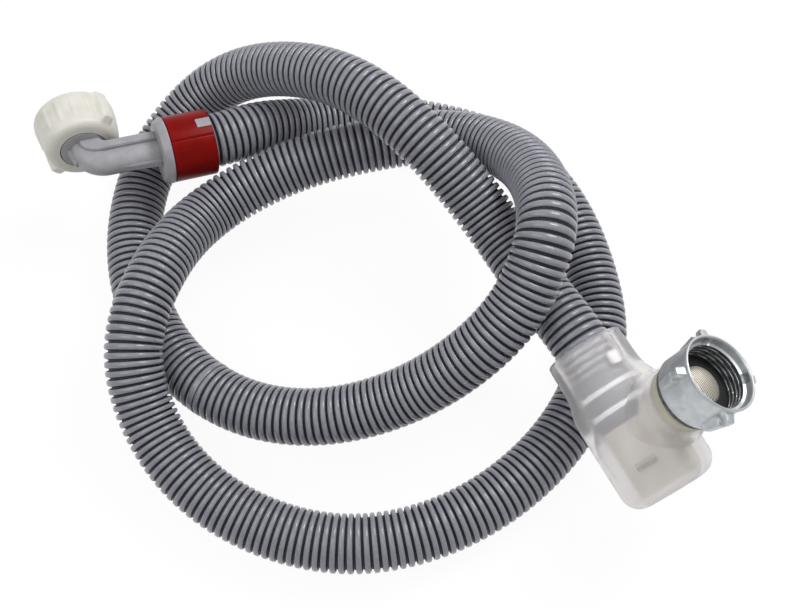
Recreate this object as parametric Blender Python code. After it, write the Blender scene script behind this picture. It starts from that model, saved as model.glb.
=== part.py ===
# A water supply hose for a washing machine or dishwasher, lying in a loose tangle.
# A grey corrugated jacket runs from a clear valve housing with a die-cast union nut, which goes on
# the tap, to a red locking ring, a grey elbow and a white winged nut, which goes on the appliance.
# Lengths are in millimetres and are scaled to metres where meshes are made. The floor is at z = 0.
import math

import bmesh
import bpy
from mathutils import Matrix, Vector

MM = 0.001
GAP = 0.3             # air left between pieces that touch on the real hose
SIDES = 40            # sides of a large turned piece
SMALL_SIDES = 24      # sides of a small turned piece
THREAD_PITCH = 1.814  # G 3/4 pipe thread
THREAD_DEPTH = 1.16
FLOOR_LIFT = 0.006    # lift of a strand on the floor, in jacket diameters

# Jacket
JACKET_OD = 23.0
JACKET_GAP = 0.5      # room round the jacket where a fitting holds it
ROUTE_SCALE = JACKET_OD / 23.0   # the route and both mouths were measured with a 23 mm jacket
ROUTE_STEP = 17.5 * ROUTE_SCALE
ROUTE_SIDES = 4       # bevel resolution, which gives 12 sides
# x, y and lift above the floor, in jacket diameters, from the elbow end to the housing end.
ROUTE = [
    (-48.5, 74.5, 0.83), (-28.5, 84.0, 0.37), (0.0, 90.5, 0.06), (33.5, 86.5, FLOOR_LIFT),
    (61.0, 74.5, FLOOR_LIFT), (81.0, 51.5, FLOOR_LIFT), (93.0, 17.5, FLOOR_LIFT),
    (95.0, -17.5, FLOOR_LIFT), (82.5, -49.0, FLOOR_LIFT), (59.0, -75.0, FLOOR_LIFT),
    (27.5, -93.0, FLOOR_LIFT), (-5.5, -99.0, FLOOR_LIFT), (-38.0, -92.5, FLOOR_LIFT),
    (-66.0, -76.0, 0.13), (-85.0, -51.0, 0.45), (-90.0, -26.5, 0.96), (-84.0, 1.5, 1.07),
    (-68.0, 34.5, 0.65), (-33.0, 55.5, 0.82), (1.0, 64.0, 1.0), (30.5, 67.0, 1.07),
    (54.0, 54.0, 1.58), (67.0, 25.5, 2.38), (67.0, 3.0, 2.68), (60.0, -16.5, 2.24),
    (40.5, -35.0, 1.48), (14.0, -46.0, 0.76), (-18.0, -51.0, 0.36), (-50.0, -44.5, 0.13),
    (-78.5, -23.5, FLOOR_LIFT), (-96.5, 9.5, FLOOR_LIFT), (-100.5, 45.5, FLOOR_LIFT),
    (-93.0, 76.0, 0.07), (-70.5, 97.0, 0.63), (-32.0, 91.0, 1.7), (-2.5, 72.5, 2.22),
    (23.5, 49.5, 2.09), (51.0, 20.5, 1.4), (71.0, -11.5, 1.32),
]

# Tap end: s is measured along the hose from the housing's mouth, and x towards the union nut.
TAP_MOUTH = tuple(value * ROUTE_SCALE for value in (83.0, -30.9, 42.1))
TAP_AXIS = (0.500, -0.859, -0.109)   # the way the hose goes into the housing
TAP_PORT = (0.437, 0.142, 0.888)     # the way the union nut faces
TAP_GRIP = 12.0                      # jacket inside the housing
HOUSING_LENGTH = 62.6
HOUSING_R = JACKET_OD / 2 + 6.8
HOUSING_LIFT = 1.0                   # how far the round body is drawn out towards the port
HOUSING_WALL = 2.2
HOUSING_CORNER = 7.5
# Share of the way to the port, of the growth from collar to body, and of the lift.
HOUSING_SHAPE = [
    (0.04, -0.1, 0.0), (0.1, 0.05, 0.0), (0.22, 0.0, 0.0), (0.3, 0.05, 0.0), (0.38, 0.07, 0.0),
    (0.46, 0.2, 0.1), (0.53, 0.55, 0.3), (0.6, 0.85, 0.6), (0.68, 1.0, 0.9), (0.9, 1.0, 1.0),
]
END_LIFT = 1.0                       # share of the lift that is left where the far end starts to round
TIP_LIFT = 0.5                       # share of it that is left on the end face
COLLAR_R = JACKET_OD / 2 + 4.0
MOUTH_CHAMFER = 1.4
PORT_S = 36.4
NECK_R = 13.2
NECK_TOP = 25.2
THREAD_CREST_R = 12.05
THREAD_ROOM = 0.35                   # between the thread's crests and what sits inside them
FLANGE_R = THREAD_CREST_R - THREAD_ROOM
FLANGE_H = 2.0
SPIGOT_R = FLANGE_R - 1.6
SPIGOT_STEM_R = 8.2
SPIGOT_BORE_R = 6.0
SPIGOT_DEPTH = 3.7                   # spigot inside the neck
SPIGOT_RING_R = SPIGOT_R + 2.15
SPIGOT_RING_H = 3.7
RING_CHAMFER = 0.8
UNION_LENGTH = 18.3
UNION_WALL = 2.0                     # outside of the thread's crests
UNION_R = THREAD_CREST_R + UNION_WALL
UNION_BEAD_R = UNION_R + 0.5
UNION_BACK = 2.6
UNION_CLEAR = 0.8                    # between the nut and the ring behind it
LUG_HEIGHT = 4.0
LUG_WIDTH = 4.6
LUG_SET_BACK = 3.4                   # from the nut's back
LUG_TAPER = 3.0
UNION_LUG_ANGLE = -25.0              # from the hose's way into the housing
WASHER_H = 2.5
WASHER_BORE_R = FLANGE_R - 4.2
STRAINER_H = 5.0
STRAINER_WALL = 0.6

# Pressure hose inside the jacket
INNER_HOSE_R = 6.7
INNER_HOSE_BORE_R = 4.4
BARB_R = INNER_HOSE_BORE_R - GAP
BARB_BORE_R = 2.8
BARB_TIP = 2.0                       # length of its tapered tip
FERRULE_WALL = 1.0

# Valve inside the housing. It is measured back from the housing's far end.
BARREL_R = JACKET_OD / 2 + 0.5
BARREL_ROOM = 1.2                    # between the barrel and the housing's end wall
BARREL_END = HOUSING_LENGTH - HOUSING_WALL - BARREL_ROOM
CHAMBER_R = BARREL_R - 3.0
CHAMBER_DEPTH = 16.0
CHAMBER_START = BARREL_END - CHAMBER_DEPTH
CHAMBER_FLOOR = 10.7
BARREL_START = CHAMBER_START - CHAMBER_FLOOR
BARB_LENGTH = 12.0
COUPLING_R = JACKET_OD / 2 - 0.2
COUPLING_RIB_R = COUPLING_R + 0.55
COUPLING_RIB_WIDTH = 1.2
COUPLING_RIBS = (0.226, 0.509, 0.792)   # shares of the coupling's length
COUPLING_ROOM = 0.5                  # between the coupling and the barrel
COUPLING_END = BARREL_START - COUPLING_ROOM
VALVE_TRAVEL = 2.8
SEAT_H = 2.0
PLUNGER_NOSE_R = 4.9
PLUNGER_NOSE_H = 3.0
PLUNGER_LENGTH = 6.6
CAP_DISC_H = 1.6
ARM_WIDTH = 12.0
ARM_ROOM = 1.7                       # between the arm and the housing's wall
CHANNEL_WIDTH = 4.2

# Appliance end: s is measured along the hose from the locking ring's mouth.
RING_MOUTH = tuple(value * ROUTE_SCALE for value in (-66.7, 65.3, 35.5))
ELBOW_AXIS = (-0.914, -0.357, 0.195)   # the way the hose goes into the ring
ELBOW_PORT = (-0.383, 0.915, -0.124)   # the way the white nut faces
RING_GRIP = 8.0                        # jacket inside the ring
RING_LENGTH = 18.0
RING_R = JACKET_OD / 2 + 2.2
WINDOW_LENGTH = 5.0
WINDOW_WIDTH = 7.0
CAP_R = RING_R + 0.2
CAP_H = 3.6
CORNER_S = RING_LENGTH + 32.5
ELBOW_R = 5.6
ELBOW_BORE_R = 3.9
ELBOW_BEND_R = 7.5
RAIL_REACH = ELBOW_R + 1.2
RAIL_WIDTH = 2.6
WHITE_NUT_BACK = 9.2
WHITE_NUT_LENGTH = 17.4
WHITE_NUT_BACK_R = THREAD_CREST_R + 3.15
WHITE_NUT_FRONT_R = WHITE_NUT_BACK_R + 1.3
WHITE_NUT_HOLE_R = FLANGE_R - 2.1
WHITE_NUT_FLOOR = 2.6
WING_HEIGHT = 3.2
WING_WIDTH = 5.0
WING_SET_BACK = 1.4
WING_TAPER = 3.5
WING_ANGLE = -47.0


def clear_scene():
    for old in list(bpy.data.objects):
        bpy.data.objects.remove(old, do_unlink=True)


def material(name, color, roughness, metallic=0.0, alpha=1.0):
    made = bpy.data.materials.new(name)
    made.use_nodes = True
    shader = made.node_tree.nodes["Principled BSDF"]
    shader.inputs["Base Color"].default_value = (*color, 1.0)
    shader.inputs["Roughness"].default_value = roughness
    shader.inputs["Metallic"].default_value = metallic
    shader.inputs["Alpha"].default_value = alpha
    return made


def unit(values):
    return Vector(values).normalized()


def square_frame(origin, forward, side):
    """Matrix with Z along forward and X as near to side as is square to it."""
    z = unit(forward)
    x = unit(side)
    x = (x - x.dot(z) * z).normalized()
    y = z.cross(x)
    turned_axes = Matrix((x, y, z)).transposed().to_4x4()
    return Matrix.Translation(Vector(origin) * MM) @ turned_axes


def empty(name, matrix):
    made = bpy.data.objects.new(name, None)
    bpy.context.collection.objects.link(made)
    made.matrix_world = matrix
    bpy.context.view_layer.update()
    return made


def put(name, bm, paint, parent, at=(0, 0, 0)):
    """Turn a bmesh in millimetres into a named object at a place in its parent's frame."""
    bmesh.ops.recalc_face_normals(bm, faces=bm.faces)
    bmesh.ops.scale(bm, vec=(MM, MM, MM), verts=bm.verts)
    mesh = bpy.data.meshes.new(name)
    bm.to_mesh(mesh)
    bm.free()
    made = bpy.data.objects.new(name, mesh)
    bpy.context.collection.objects.link(made)
    if paint is not None:
        mesh.materials.append(paint)
    made.parent = parent
    made.location = Vector(at) * MM
    return made


def ring_of(bm, points):
    return [bm.verts.new(p) for p in points]


def bridge(bm, first, second):
    count = len(first)
    for i in range(count):
        j = (i + 1) % count
        bm.faces.new((first[i], first[j], second[j], second[i]))


def turned(profile, sides=SIDES):
    """Revolve a closed outline of (radius, height) about Z. Radius 0 makes a pole."""
    bm = bmesh.new()
    rings = []
    for radius, height in profile:
        if radius == 0:
            rings.append([bm.verts.new((0, 0, height))])
            continue
        angles = [2 * math.pi * i / sides for i in range(sides)]
        rings.append(ring_of(bm, [(radius * math.cos(a), radius * math.sin(a), height) for a in angles]))
    flat_poles = set()
    for first, second in zip(rings, rings[1:] + rings[:1]):
        if len(first) == 1 and len(second) == 1:
            continue
        if len(first) == 1 or len(second) == 1:
            pole, ring = (first[0], second) if len(first) == 1 else (second[0], first)
            for i in range(sides):
                bm.faces.new((pole, ring[i], ring[(i + 1) % sides]))
            if pole.co.z == ring[0].co.z:
                flat_poles.add(pole)
            continue
        bridge(bm, first, second)
    bmesh.ops.dissolve_verts(bm, verts=list(flat_poles))
    return bm


def tube(inner, outer, start, end, sides=SIDES):
    return turned([(inner, start), (outer, start), (outer, end), (inner, end)], sides)


def rod(radius, start, end, sides=SIDES):
    return turned([(0, start), (radius, start), (radius, end), (0, end)], sides)


def lofted(sections):
    """Closed solid through rings of points, with a flat face at each end."""
    bm = bmesh.new()
    rings = [ring_of(bm, points) for points in sections]
    for first, second in zip(rings, rings[1:]):
        bridge(bm, first, second)
    bm.faces.new(rings[0])
    bm.faces.new(list(reversed(rings[-1])))
    return bm


def block(low, high):
    bm = bmesh.new()
    bmesh.ops.create_cube(bm, size=1.0)
    size = Vector(high) - Vector(low)
    middle = (Vector(high) + Vector(low)) / 2
    for vert in bm.verts:
        vert.co = Vector([vert.co[i] * size[i] + middle[i] for i in range(3)])
    return bm


def tool(owner, name, bm, operation, turn=0.0, axis="Z"):
    """Add, cut or keep a helper solid in its owner's own frame."""
    helper = put(owner.name + "_" + name, bm, None, owner)
    helper.rotation_euler["XYZ".index(axis)] = turn
    helper.hide_render = True
    helper.display_type = "WIRE"
    made = owner.modifiers.new(name, "BOOLEAN")
    made.operation = operation
    made.solver = "EXACT"
    made.object = helper
    return helper


def along_x(bm, at_s):
    """Turn a solid made about Z so that it lies along X, at a distance along the hose."""
    move = Matrix.Translation((0, 0, at_s)) @ Matrix.Rotation(math.pi / 2, 4, "Y")
    bmesh.ops.transform(bm, matrix=move, verts=bm.verts)
    return bm


def soften(made, width, segments=2, angle=40):
    bevel = made.modifiers.new("soft_edges", "BEVEL")
    bevel.width = width * MM
    bevel.segments = segments
    bevel.limit_method = "ANGLE"
    bevel.angle_limit = math.radians(angle)


def smooth(made):
    for face in made.data.polygons:
        face.use_smooth = True


def capsule(s, radius, lift, sides=SIDES):
    """Round section drawn out towards the port, as a ring of points at a distance s."""
    points = []
    for i in range(sides):
        angle = 2 * math.pi * i / sides
        share = min(1.0, max(0.0, 0.5 + 1.2 * math.cos(angle)))
        points.append((radius * math.cos(angle) + lift * share, radius * math.sin(angle), s))
    return points


def rounded_end(end, radius, corner, steps=4):
    """Sections that round the housing off towards its far end, where its lift fades too."""
    sections = []
    for i in range(steps + 1):
        angle = math.pi / 2 * i / steps
        s = end - corner + corner * math.sin(angle)
        share = TIP_LIFT + (END_LIFT - TIP_LIFT) * math.cos(angle)
        sections.append(capsule(s, radius - corner + corner * math.cos(angle), share * HOUSING_LIFT))
    return sections


def thread(start, end, crest):
    """Saw of ring grooves that stands for a pipe thread, from one height to another."""
    points = []
    count = int(abs(end - start) / THREAD_PITCH)
    step = (end - start) / count
    for i in range(count):
        z = start + i * step
        points.append((crest, z + 0.15 * step))
        points.append((crest + THREAD_DEPTH, z + 0.5 * step))
        points.append((crest, z + 0.85 * step))
    return points


def smooth_route(points, start_way, end_way, step):
    """Even points on a clamped cubic curve through the route's own points."""
    count = len(points)
    spans = [(points[i + 1] - points[i]).length for i in range(count - 1)]
    ways = [start_way.copy() for _ in points]
    ways[-1] = end_way.copy()
    for _ in range(60):
        for i in range(1, count - 1):
            before, after = spans[i - 1], spans[i]
            pull = (points[i] - points[i - 1]) * (after / before) + (points[i + 1] - points[i]) * (before / after)
            ways[i] = (3 * pull - after * ways[i - 1] - before * ways[i + 1]) / (2 * (before + after))
    fine = []
    for i, span in enumerate(spans):
        for k in range(24):
            t = k / 24
            fine.append((2 * t**3 - 3 * t**2 + 1) * points[i] + (t**3 - 2 * t**2 + t) * span * ways[i]
                        + (3 * t**2 - 2 * t**3) * points[i + 1] + (t**3 - t**2) * span * ways[i + 1])
    fine.append(points[-1])
    lengths = [0.0]
    for first, second in zip(fine, fine[1:]):
        lengths.append(lengths[-1] + (second - first).length)
    pieces = round(lengths[-1] / step)
    even = []
    place = 0
    for i in range(pieces + 1):
        target = lengths[-1] * i / pieces
        while place < len(fine) - 2 and lengths[place + 1] < target:
            place += 1
        share = (target - lengths[place]) / (lengths[place + 1] - lengths[place])
        even.append(fine[place].lerp(fine[place + 1], share))
    return even, lengths[-1]


def make_hose(paint):
    start_way = -unit(ELBOW_AXIS)
    end_way = unit(TAP_AXIS)
    points = [Vector(RING_MOUTH)]
    for x, y, lift in ROUTE:
        points.append(Vector((x * ROUTE_SCALE, y * ROUTE_SCALE, JACKET_OD * (0.5 + lift))))
    points.append(Vector(TAP_MOUTH))
    even, length = smooth_route(points, start_way, end_way, ROUTE_STEP)
    even = [points[0] - RING_GRIP * start_way] + even + [points[-1] + TAP_GRIP * end_way]
    length += RING_GRIP + TAP_GRIP
    curve = bpy.data.curves.new("hose", "CURVE")
    curve.dimensions = "3D"
    curve.bevel_depth = JACKET_OD / 2 * MM
    curve.bevel_resolution = ROUTE_SIDES
    curve.use_fill_caps = True
    line = curve.splines.new("POLY")
    line.points.add(len(even) - 1)
    for place, point in zip(line.points, even):
        place.co = (*(point * MM), 1.0)
    curve.materials.append(paint)
    made = bpy.data.objects.new("hose", curve)
    bpy.context.collection.objects.link(made)
    print("hose: %.0f mm in %d points" % (length, len(even)))


def make_half(name, paint, parent, side):
    """One half shell of the clear housing. The halves meet in the plane of hose and port."""
    outer = [capsule(0.0, COLLAR_R - MOUTH_CHAMFER, 0.0)]
    for place, growth, lift in HOUSING_SHAPE:
        outer.append(capsule(place * PORT_S, COLLAR_R + growth * (HOUSING_R - COLLAR_R), lift * HOUSING_LIFT))
    outer += rounded_end(HOUSING_LENGTH, HOUSING_R, HOUSING_CORNER)
    made = put(name, lofted(outer), paint, parent)
    neck = along_x(rod(NECK_R, 0.0, NECK_TOP), PORT_S)
    tool(made, "neck", neck, "UNION")
    near, far = sorted((side * GAP / 2, side * 40.0))
    tool(made, "half", block((-40, near, -5), (50, far, 80)), "INTERSECT")
    grip = rod(JACKET_OD / 2 + JACKET_GAP, -2.0, TAP_GRIP + 1.0)
    tool(made, "grip_bore", grip, "DIFFERENCE")
    sleeve_room = rod(COUPLING_RIB_R + GAP, TAP_GRIP, PORT_S)
    tool(made, "sleeve_room", sleeve_room, "DIFFERENCE")
    inner_r = HOUSING_R - HOUSING_WALL
    room = [
        capsule(0.79 * PORT_S, COUPLING_RIB_R, 0.42 * HOUSING_LIFT),
        capsule(0.91 * PORT_S, inner_r - 1.0, 0.89 * HOUSING_LIFT),
        capsule(1.04 * PORT_S, inner_r, HOUSING_LIFT),
    ]
    room += rounded_end(HOUSING_LENGTH - HOUSING_WALL, inner_r, HOUSING_CORNER - HOUSING_WALL)
    tool(made, "room", lofted(room), "DIFFERENCE")
    port = along_x(rod(SPIGOT_STEM_R + 0.8, 8.0, NECK_TOP + 3.0), PORT_S)
    tool(made, "port_bore", port, "DIFFERENCE")
    smooth(made)


def make_tap_coupling(hose_axis, grey, black, zinc):
    """Jacket coupling, the end of the pressure hose and its crimp, inside the housing."""
    start = TAP_GRIP + GAP
    length = COUPLING_END - start
    ferrule_r = INNER_HOSE_R + GAP + FERRULE_WALL
    bore = ferrule_r + GAP
    half = COUPLING_RIB_WIDTH / 2
    profile = [(bore, start), (COUPLING_R, start)]
    for share in COUPLING_RIBS:
        rib = start + share * length
        profile += [(COUPLING_R, rib - half - 0.4), (COUPLING_RIB_R, rib - half),
                    (COUPLING_RIB_R, rib + half), (COUPLING_R, rib + half + 0.4)]
    profile += [(COUPLING_R, COUPLING_END), (bore, COUPLING_END)]
    smooth(put("hose_coupling", turned(profile), grey, hose_axis))
    inner = tube(INNER_HOSE_BORE_R, INNER_HOSE_R, start, COUPLING_END - 2.0, SMALL_SIDES)
    smooth(put("pressure_hose_inlet_end", inner, black, hose_axis))
    crimp = tube(INNER_HOSE_R + GAP, ferrule_r, start + 0.35 * length, COUPLING_END - 3.0, SMALL_SIDES)
    smooth(put("inlet_crimp_ferrule", crimp, zinc, hose_axis))


def make_valve_body(hose_axis, beige):
    """Barrel with a barb for the pressure hose and an arm up to the port."""
    barb = BARREL_START - BARB_LENGTH
    made = put("valve_body", turned([
        (0, barb), (BARB_R - 0.6, barb), (BARB_R, barb + BARB_TIP), (BARB_R, BARREL_START),
        (BARREL_R, BARREL_START), (BARREL_R, BARREL_END), (0, BARREL_END)]), beige, hose_axis)
    top = HOUSING_R - HOUSING_WALL + HOUSING_LIFT - ARM_ROOM
    low = COUPLING_RIB_R + 1.0
    half = ARM_WIDTH / 2
    arm = block((CHAMBER_R - 3.0, -half, BARREL_START + 0.4), (top, half, BARREL_END - 8.0))
    tool(made, "arm", arm, "UNION")
    boss = along_x(rod(SPIGOT_STEM_R - 0.1, low, NECK_TOP - SPIGOT_DEPTH - GAP), PORT_S)
    tool(made, "boss", boss, "UNION")
    tool(made, "barb_bore", rod(BARB_BORE_R, barb - 4.0, CHAMBER_START + 1.0, 24), "DIFFERENCE")
    tool(made, "chamber", rod(CHAMBER_R, CHAMBER_START, BARREL_END + 1.0), "DIFFERENCE")
    half = CHANNEL_WIDTH / 2
    gallery = block((low - 2.2, -half, PORT_S - 1.9), (low + 1.2, half, CHAMBER_START + 6.0))
    tool(made, "gallery", gallery, "DIFFERENCE")
    drop = block((4.0, 0.3 - half, CHAMBER_START + 2.6), (low - 0.9, half - 0.3, CHAMBER_START + 5.7))
    tool(made, "drop", drop, "DIFFERENCE")
    well = along_x(rod(SPIGOT_BORE_R - 0.8, low + 0.8, NECK_TOP), PORT_S)
    tool(made, "well", well, "DIFFERENCE")


def make_valve_inside(hose_axis, black, white, grey):
    """Seat, sliding plunger, swelling pad and end cap of the safety valve."""
    snug = CHAMBER_R - GAP
    seat = CHAMBER_START + GAP
    ring = tube(BARB_BORE_R + 0.4, snug, seat, seat + SEAT_H, SMALL_SIDES)
    smooth(put("seat_seal", ring, black, hose_axis))
    nose = seat + SEAT_H + GAP + VALVE_TRAVEL
    head = snug - 0.2
    plunger = turned([
        (0, 0), (PLUNGER_NOSE_R - 0.3, 0), (PLUNGER_NOSE_R, 0.4), (PLUNGER_NOSE_R, PLUNGER_NOSE_H),
        (head, PLUNGER_NOSE_H + 0.4), (head, PLUNGER_LENGTH), (0, PLUNGER_LENGTH)], SMALL_SIDES)
    smooth(put("valve_plunger", plunger, white, hose_axis, (0, 0, nose)))
    pad = nose + PLUNGER_LENGTH + GAP
    cap = BARREL_END - CAP_DISC_H
    smooth(put("swelling_pad", rod(snug - 0.3, pad, cap - GAP, SMALL_SIDES), grey, hose_axis))
    smooth(put("valve_end_cap", rod(snug, cap, BARREL_END, SMALL_SIDES), white, hose_axis))


def make_spigot(port_axis, beige, amber, rubber, steel):
    """What the union nut turns on and clamps against the tap."""
    ring_top = NECK_TOP + GAP + SPIGOT_RING_H
    flange = ring_top + UNION_CLEAR + UNION_BACK + GAP
    foot = NECK_TOP - SPIGOT_DEPTH
    body = turned([
        (SPIGOT_BORE_R, foot), (SPIGOT_STEM_R, foot), (SPIGOT_STEM_R, NECK_TOP + GAP),
        (SPIGOT_R, NECK_TOP + GAP), (SPIGOT_R, flange), (FLANGE_R, flange), (FLANGE_R, flange + FLANGE_H),
        (SPIGOT_BORE_R, flange + FLANGE_H)])
    smooth(put("inlet_spigot", body, beige, port_axis))
    ring_low = NECK_TOP + GAP
    collar = turned([
        (SPIGOT_R + GAP, ring_low), (SPIGOT_RING_R, ring_low), (SPIGOT_RING_R, ring_top - RING_CHAMFER),
        (SPIGOT_RING_R - RING_CHAMFER, ring_top), (SPIGOT_R + GAP, ring_top)])
    smooth(put("spigot_ring", collar, amber, port_axis))
    low = flange + FLANGE_H + GAP
    washer = tube(WASHER_BORE_R, FLANGE_R, low, low + WASHER_H)
    smooth(put("sealing_washer", washer, rubber, port_axis))
    rim = WASHER_BORE_R - GAP
    dome = [(rim, low), (rim, low + WASHER_H)]
    for i in range(1, 5):
        angle = math.pi / 2 * i / 5
        dome.append((rim * math.cos(angle), low + WASHER_H + (STRAINER_H - WASHER_H) * math.sin(angle)))
    dome.append((0, low + STRAINER_H))
    dome.append((0, low + STRAINER_H - STRAINER_WALL))
    for i in range(4, -1, -1):
        angle = math.pi / 2 * i / 5
        dome.append(((rim - STRAINER_WALL) * math.cos(angle),
                     low + WASHER_H + (STRAINER_H - WASHER_H - STRAINER_WALL) * math.sin(angle)))
    dome.append((rim - STRAINER_WALL, low))
    smooth(put("inlet_strainer", turned(dome, SMALL_SIDES), steel, port_axis))


def lug(reach, root, width, length, taper):
    """One grip lug: a bar along the nut with a rounded nose, on the +X side."""
    half = width / 2
    sections = []
    for z, share in ((0.0, 0.55), (taper, 1.0), (length - taper, 1.0), (length, 0.75)):
        out = root + (reach - root) * share
        sections.append([
            (root - 1.5, -half, z), (out - half, -half, z), (out - 0.3 * half, -0.7 * half, z), (out, 0, z),
            (out - 0.3 * half, 0.7 * half, z), (out - half, half, z), (root - 1.5, half, z)])
    return lofted(sections)


def make_union_nut(port_axis, zinc):
    """Die-cast nut with an inside thread, a front bead and four lugs."""
    back = NECK_TOP + GAP + SPIGOT_RING_H + UNION_CLEAR
    length = UNION_LENGTH
    hole = SPIGOT_R + GAP
    outline = [
        (hole, 0), (UNION_R - 0.8, 0), (UNION_R, 0.8), (UNION_R, length - 3.0), (UNION_BEAD_R, length - 2.2),
        (UNION_BEAD_R, length - 0.6), (UNION_BEAD_R - 0.6, length), (THREAD_CREST_R + 1.2, length)]
    outline += thread(length - 1.2, UNION_BACK + 1.4, THREAD_CREST_R)
    outline += [(THREAD_CREST_R + 0.9, UNION_BACK + 1.2), (THREAD_CREST_R + 0.9, UNION_BACK), (hole, UNION_BACK)]
    made = put("union_nut", turned(outline), zinc, port_axis, (0, 0, back))
    for i in range(4):
        bar = lug(UNION_R + LUG_HEIGHT, UNION_R, LUG_WIDTH, length - LUG_SET_BACK - 0.6, LUG_TAPER)
        bmesh.ops.translate(bar, vec=(0, 0, LUG_SET_BACK), verts=bar.verts)
        tool(made, "lug_%d" % i, bar, "UNION", math.radians(UNION_LUG_ANGLE + 90 * i))
    smooth(made)


def make_ring_end(ring_axis, red, grey, black, zinc):
    """Red locking ring, the sleeve it locks, and the pressure hose end inside."""
    bore = JACKET_OD / 2 + JACKET_GAP
    made = put("locking_ring", turned([
        (bore, 0), (RING_R - 0.6, 0), (RING_R, 0.6), (RING_R, RING_LENGTH - 0.4),
        (RING_R - 0.4, RING_LENGTH), (bore, RING_LENGTH)]), red, ring_axis)
    half = WINDOW_WIDTH / 2
    window = block((-half, -RING_R - 2.0, 1.0), (half, -bore + 3.0, 1.0 + WINDOW_LENGTH))
    tool(made, "window", window, "DIFFERENCE")
    smooth(made)
    start = RING_GRIP + GAP
    ferrule_r = INNER_HOSE_R + GAP + FERRULE_WALL
    sleeve = tube(ferrule_r + GAP, JACKET_OD / 2, start, RING_LENGTH)
    smooth(put("jacket_sleeve", sleeve, grey, ring_axis))
    inner = tube(INNER_HOSE_BORE_R, INNER_HOSE_R, start, RING_LENGTH, SMALL_SIDES)
    smooth(put("pressure_hose_outlet_end", inner, black, ring_axis))
    crimp = tube(INNER_HOSE_R + GAP, ferrule_r, start + 1.5, RING_LENGTH - 1.0, SMALL_SIDES)
    smooth(put("outlet_crimp_ferrule", crimp, zinc, ring_axis))


def elbow_path(start, end):
    """Places and ways along the elbow's centre line, from the cap to the nut."""
    bend = ELBOW_BEND_R
    places = [(0.0, start, 0.0)]
    for i in range(9):
        angle = math.pi / 2 * i / 8
        places.append((bend - bend * math.cos(angle), CORNER_S - bend + bend * math.sin(angle), angle))
    places.append((end, CORNER_S, math.pi / 2))
    return places


def sweep_elbow(outline, start, end):
    """Sweep an outline of (in the plane of the bend, across it) along the elbow's centre line."""
    sections = []
    for x, s, angle in elbow_path(start, end):
        sections.append([(x - u * math.cos(angle), v, s + u * math.sin(angle)) for u, v in outline])
    return lofted(sections)


def railed_outline():
    """Round tube with a rail on the inside and one on the outside of the bend."""
    points = []
    edge = math.asin(RAIL_WIDTH / 2 / ELBOW_R)
    for turn in (0.0, math.pi):
        out = 1 if turn == 0 else -1
        points.append((out * RAIL_REACH, -out * RAIL_WIDTH / 2))
        points.append((out * RAIL_REACH, out * RAIL_WIDTH / 2))
        for i in range(11):
            angle = turn + edge + (math.pi - 2 * edge) * i / 10
            points.append((ELBOW_R * math.cos(angle), ELBOW_R * math.sin(angle)))
    return points


def make_elbow(ring_axis, grey):
    """Cap, barb and bent tube in one moulding."""
    cap = RING_LENGTH + GAP
    made = put("elbow", turned([
        (0, 10.0), (BARB_R - 0.6, 10.0), (BARB_R, 12.0), (BARB_R, cap), (CAP_R, cap), (CAP_R, cap + 1.0),
        (CAP_R - 1.4, cap + CAP_H), (0, cap + CAP_H)]), grey, ring_axis)
    end = WHITE_NUT_BACK + WHITE_NUT_FLOOR
    tool(made, "tube", sweep_elbow(railed_outline(), cap + CAP_H - 1.0, end), "UNION")
    collar = WHITE_NUT_HOLE_R - 0.4
    seat = along_x(turned([
        (0, WHITE_NUT_BACK - 0.2), (collar, WHITE_NUT_BACK - 0.2), (collar, end + 0.4),
        (FLANGE_R, end + 0.4), (FLANGE_R, end + 0.4 + FLANGE_H), (0, end + 0.4 + FLANGE_H)]), CORNER_S)
    tool(made, "seat", seat, "UNION")
    circle = [(ELBOW_BORE_R * math.cos(2 * math.pi * i / 20), ELBOW_BORE_R * math.sin(2 * math.pi * i / 20))
              for i in range(20)]
    tool(made, "bore", sweep_elbow(circle, cap + 2.0, end + 5.0), "DIFFERENCE")
    tool(made, "barb_bore", rod(BARB_BORE_R, 6.0, cap + 3.0, 24), "DIFFERENCE")


def make_white_nut(nut_axis, white, rubber):
    """Plastic nut that widens to its front, with small ribs and two wings, and its washer."""
    length = WHITE_NUT_LENGTH
    back, front = WHITE_NUT_BACK_R, WHITE_NUT_FRONT_R
    outline = [
        (WHITE_NUT_HOLE_R, 0), (back - 1.6, 0), (back - 0.4, 0.5), (back, 1.8), (front, length - 1.0),
        (front - 0.8, length), (THREAD_CREST_R + 1.3, length)]
    floor = WHITE_NUT_FLOOR
    outline += thread(length - 1.3, floor + FLANGE_H + 0.6, THREAD_CREST_R)
    outline += [(THREAD_CREST_R + 0.9, floor + FLANGE_H + 0.4), (THREAD_CREST_R + 0.9, floor),
                (WHITE_NUT_HOLE_R, floor)]
    made = put("appliance_nut", turned(outline), white, nut_axis, (0, 0, WHITE_NUT_BACK))
    for i in range(2):
        wing = lug(back + WING_HEIGHT, back, WING_WIDTH, length - WING_SET_BACK - 1.0, WING_TAPER)
        bmesh.ops.translate(wing, vec=(0, 0, WING_SET_BACK), verts=wing.verts)
        tool(made, "wing_%d" % i, wing, "UNION", math.radians(WING_ANGLE + 180 * i))
    smooth(made)
    low = WHITE_NUT_BACK + floor + 0.4 + FLANGE_H + GAP
    smooth(put("flat_washer", tube(WASHER_BORE_R - 1.0, FLANGE_R, low, low + WASHER_H), rubber, nut_axis))


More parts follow.
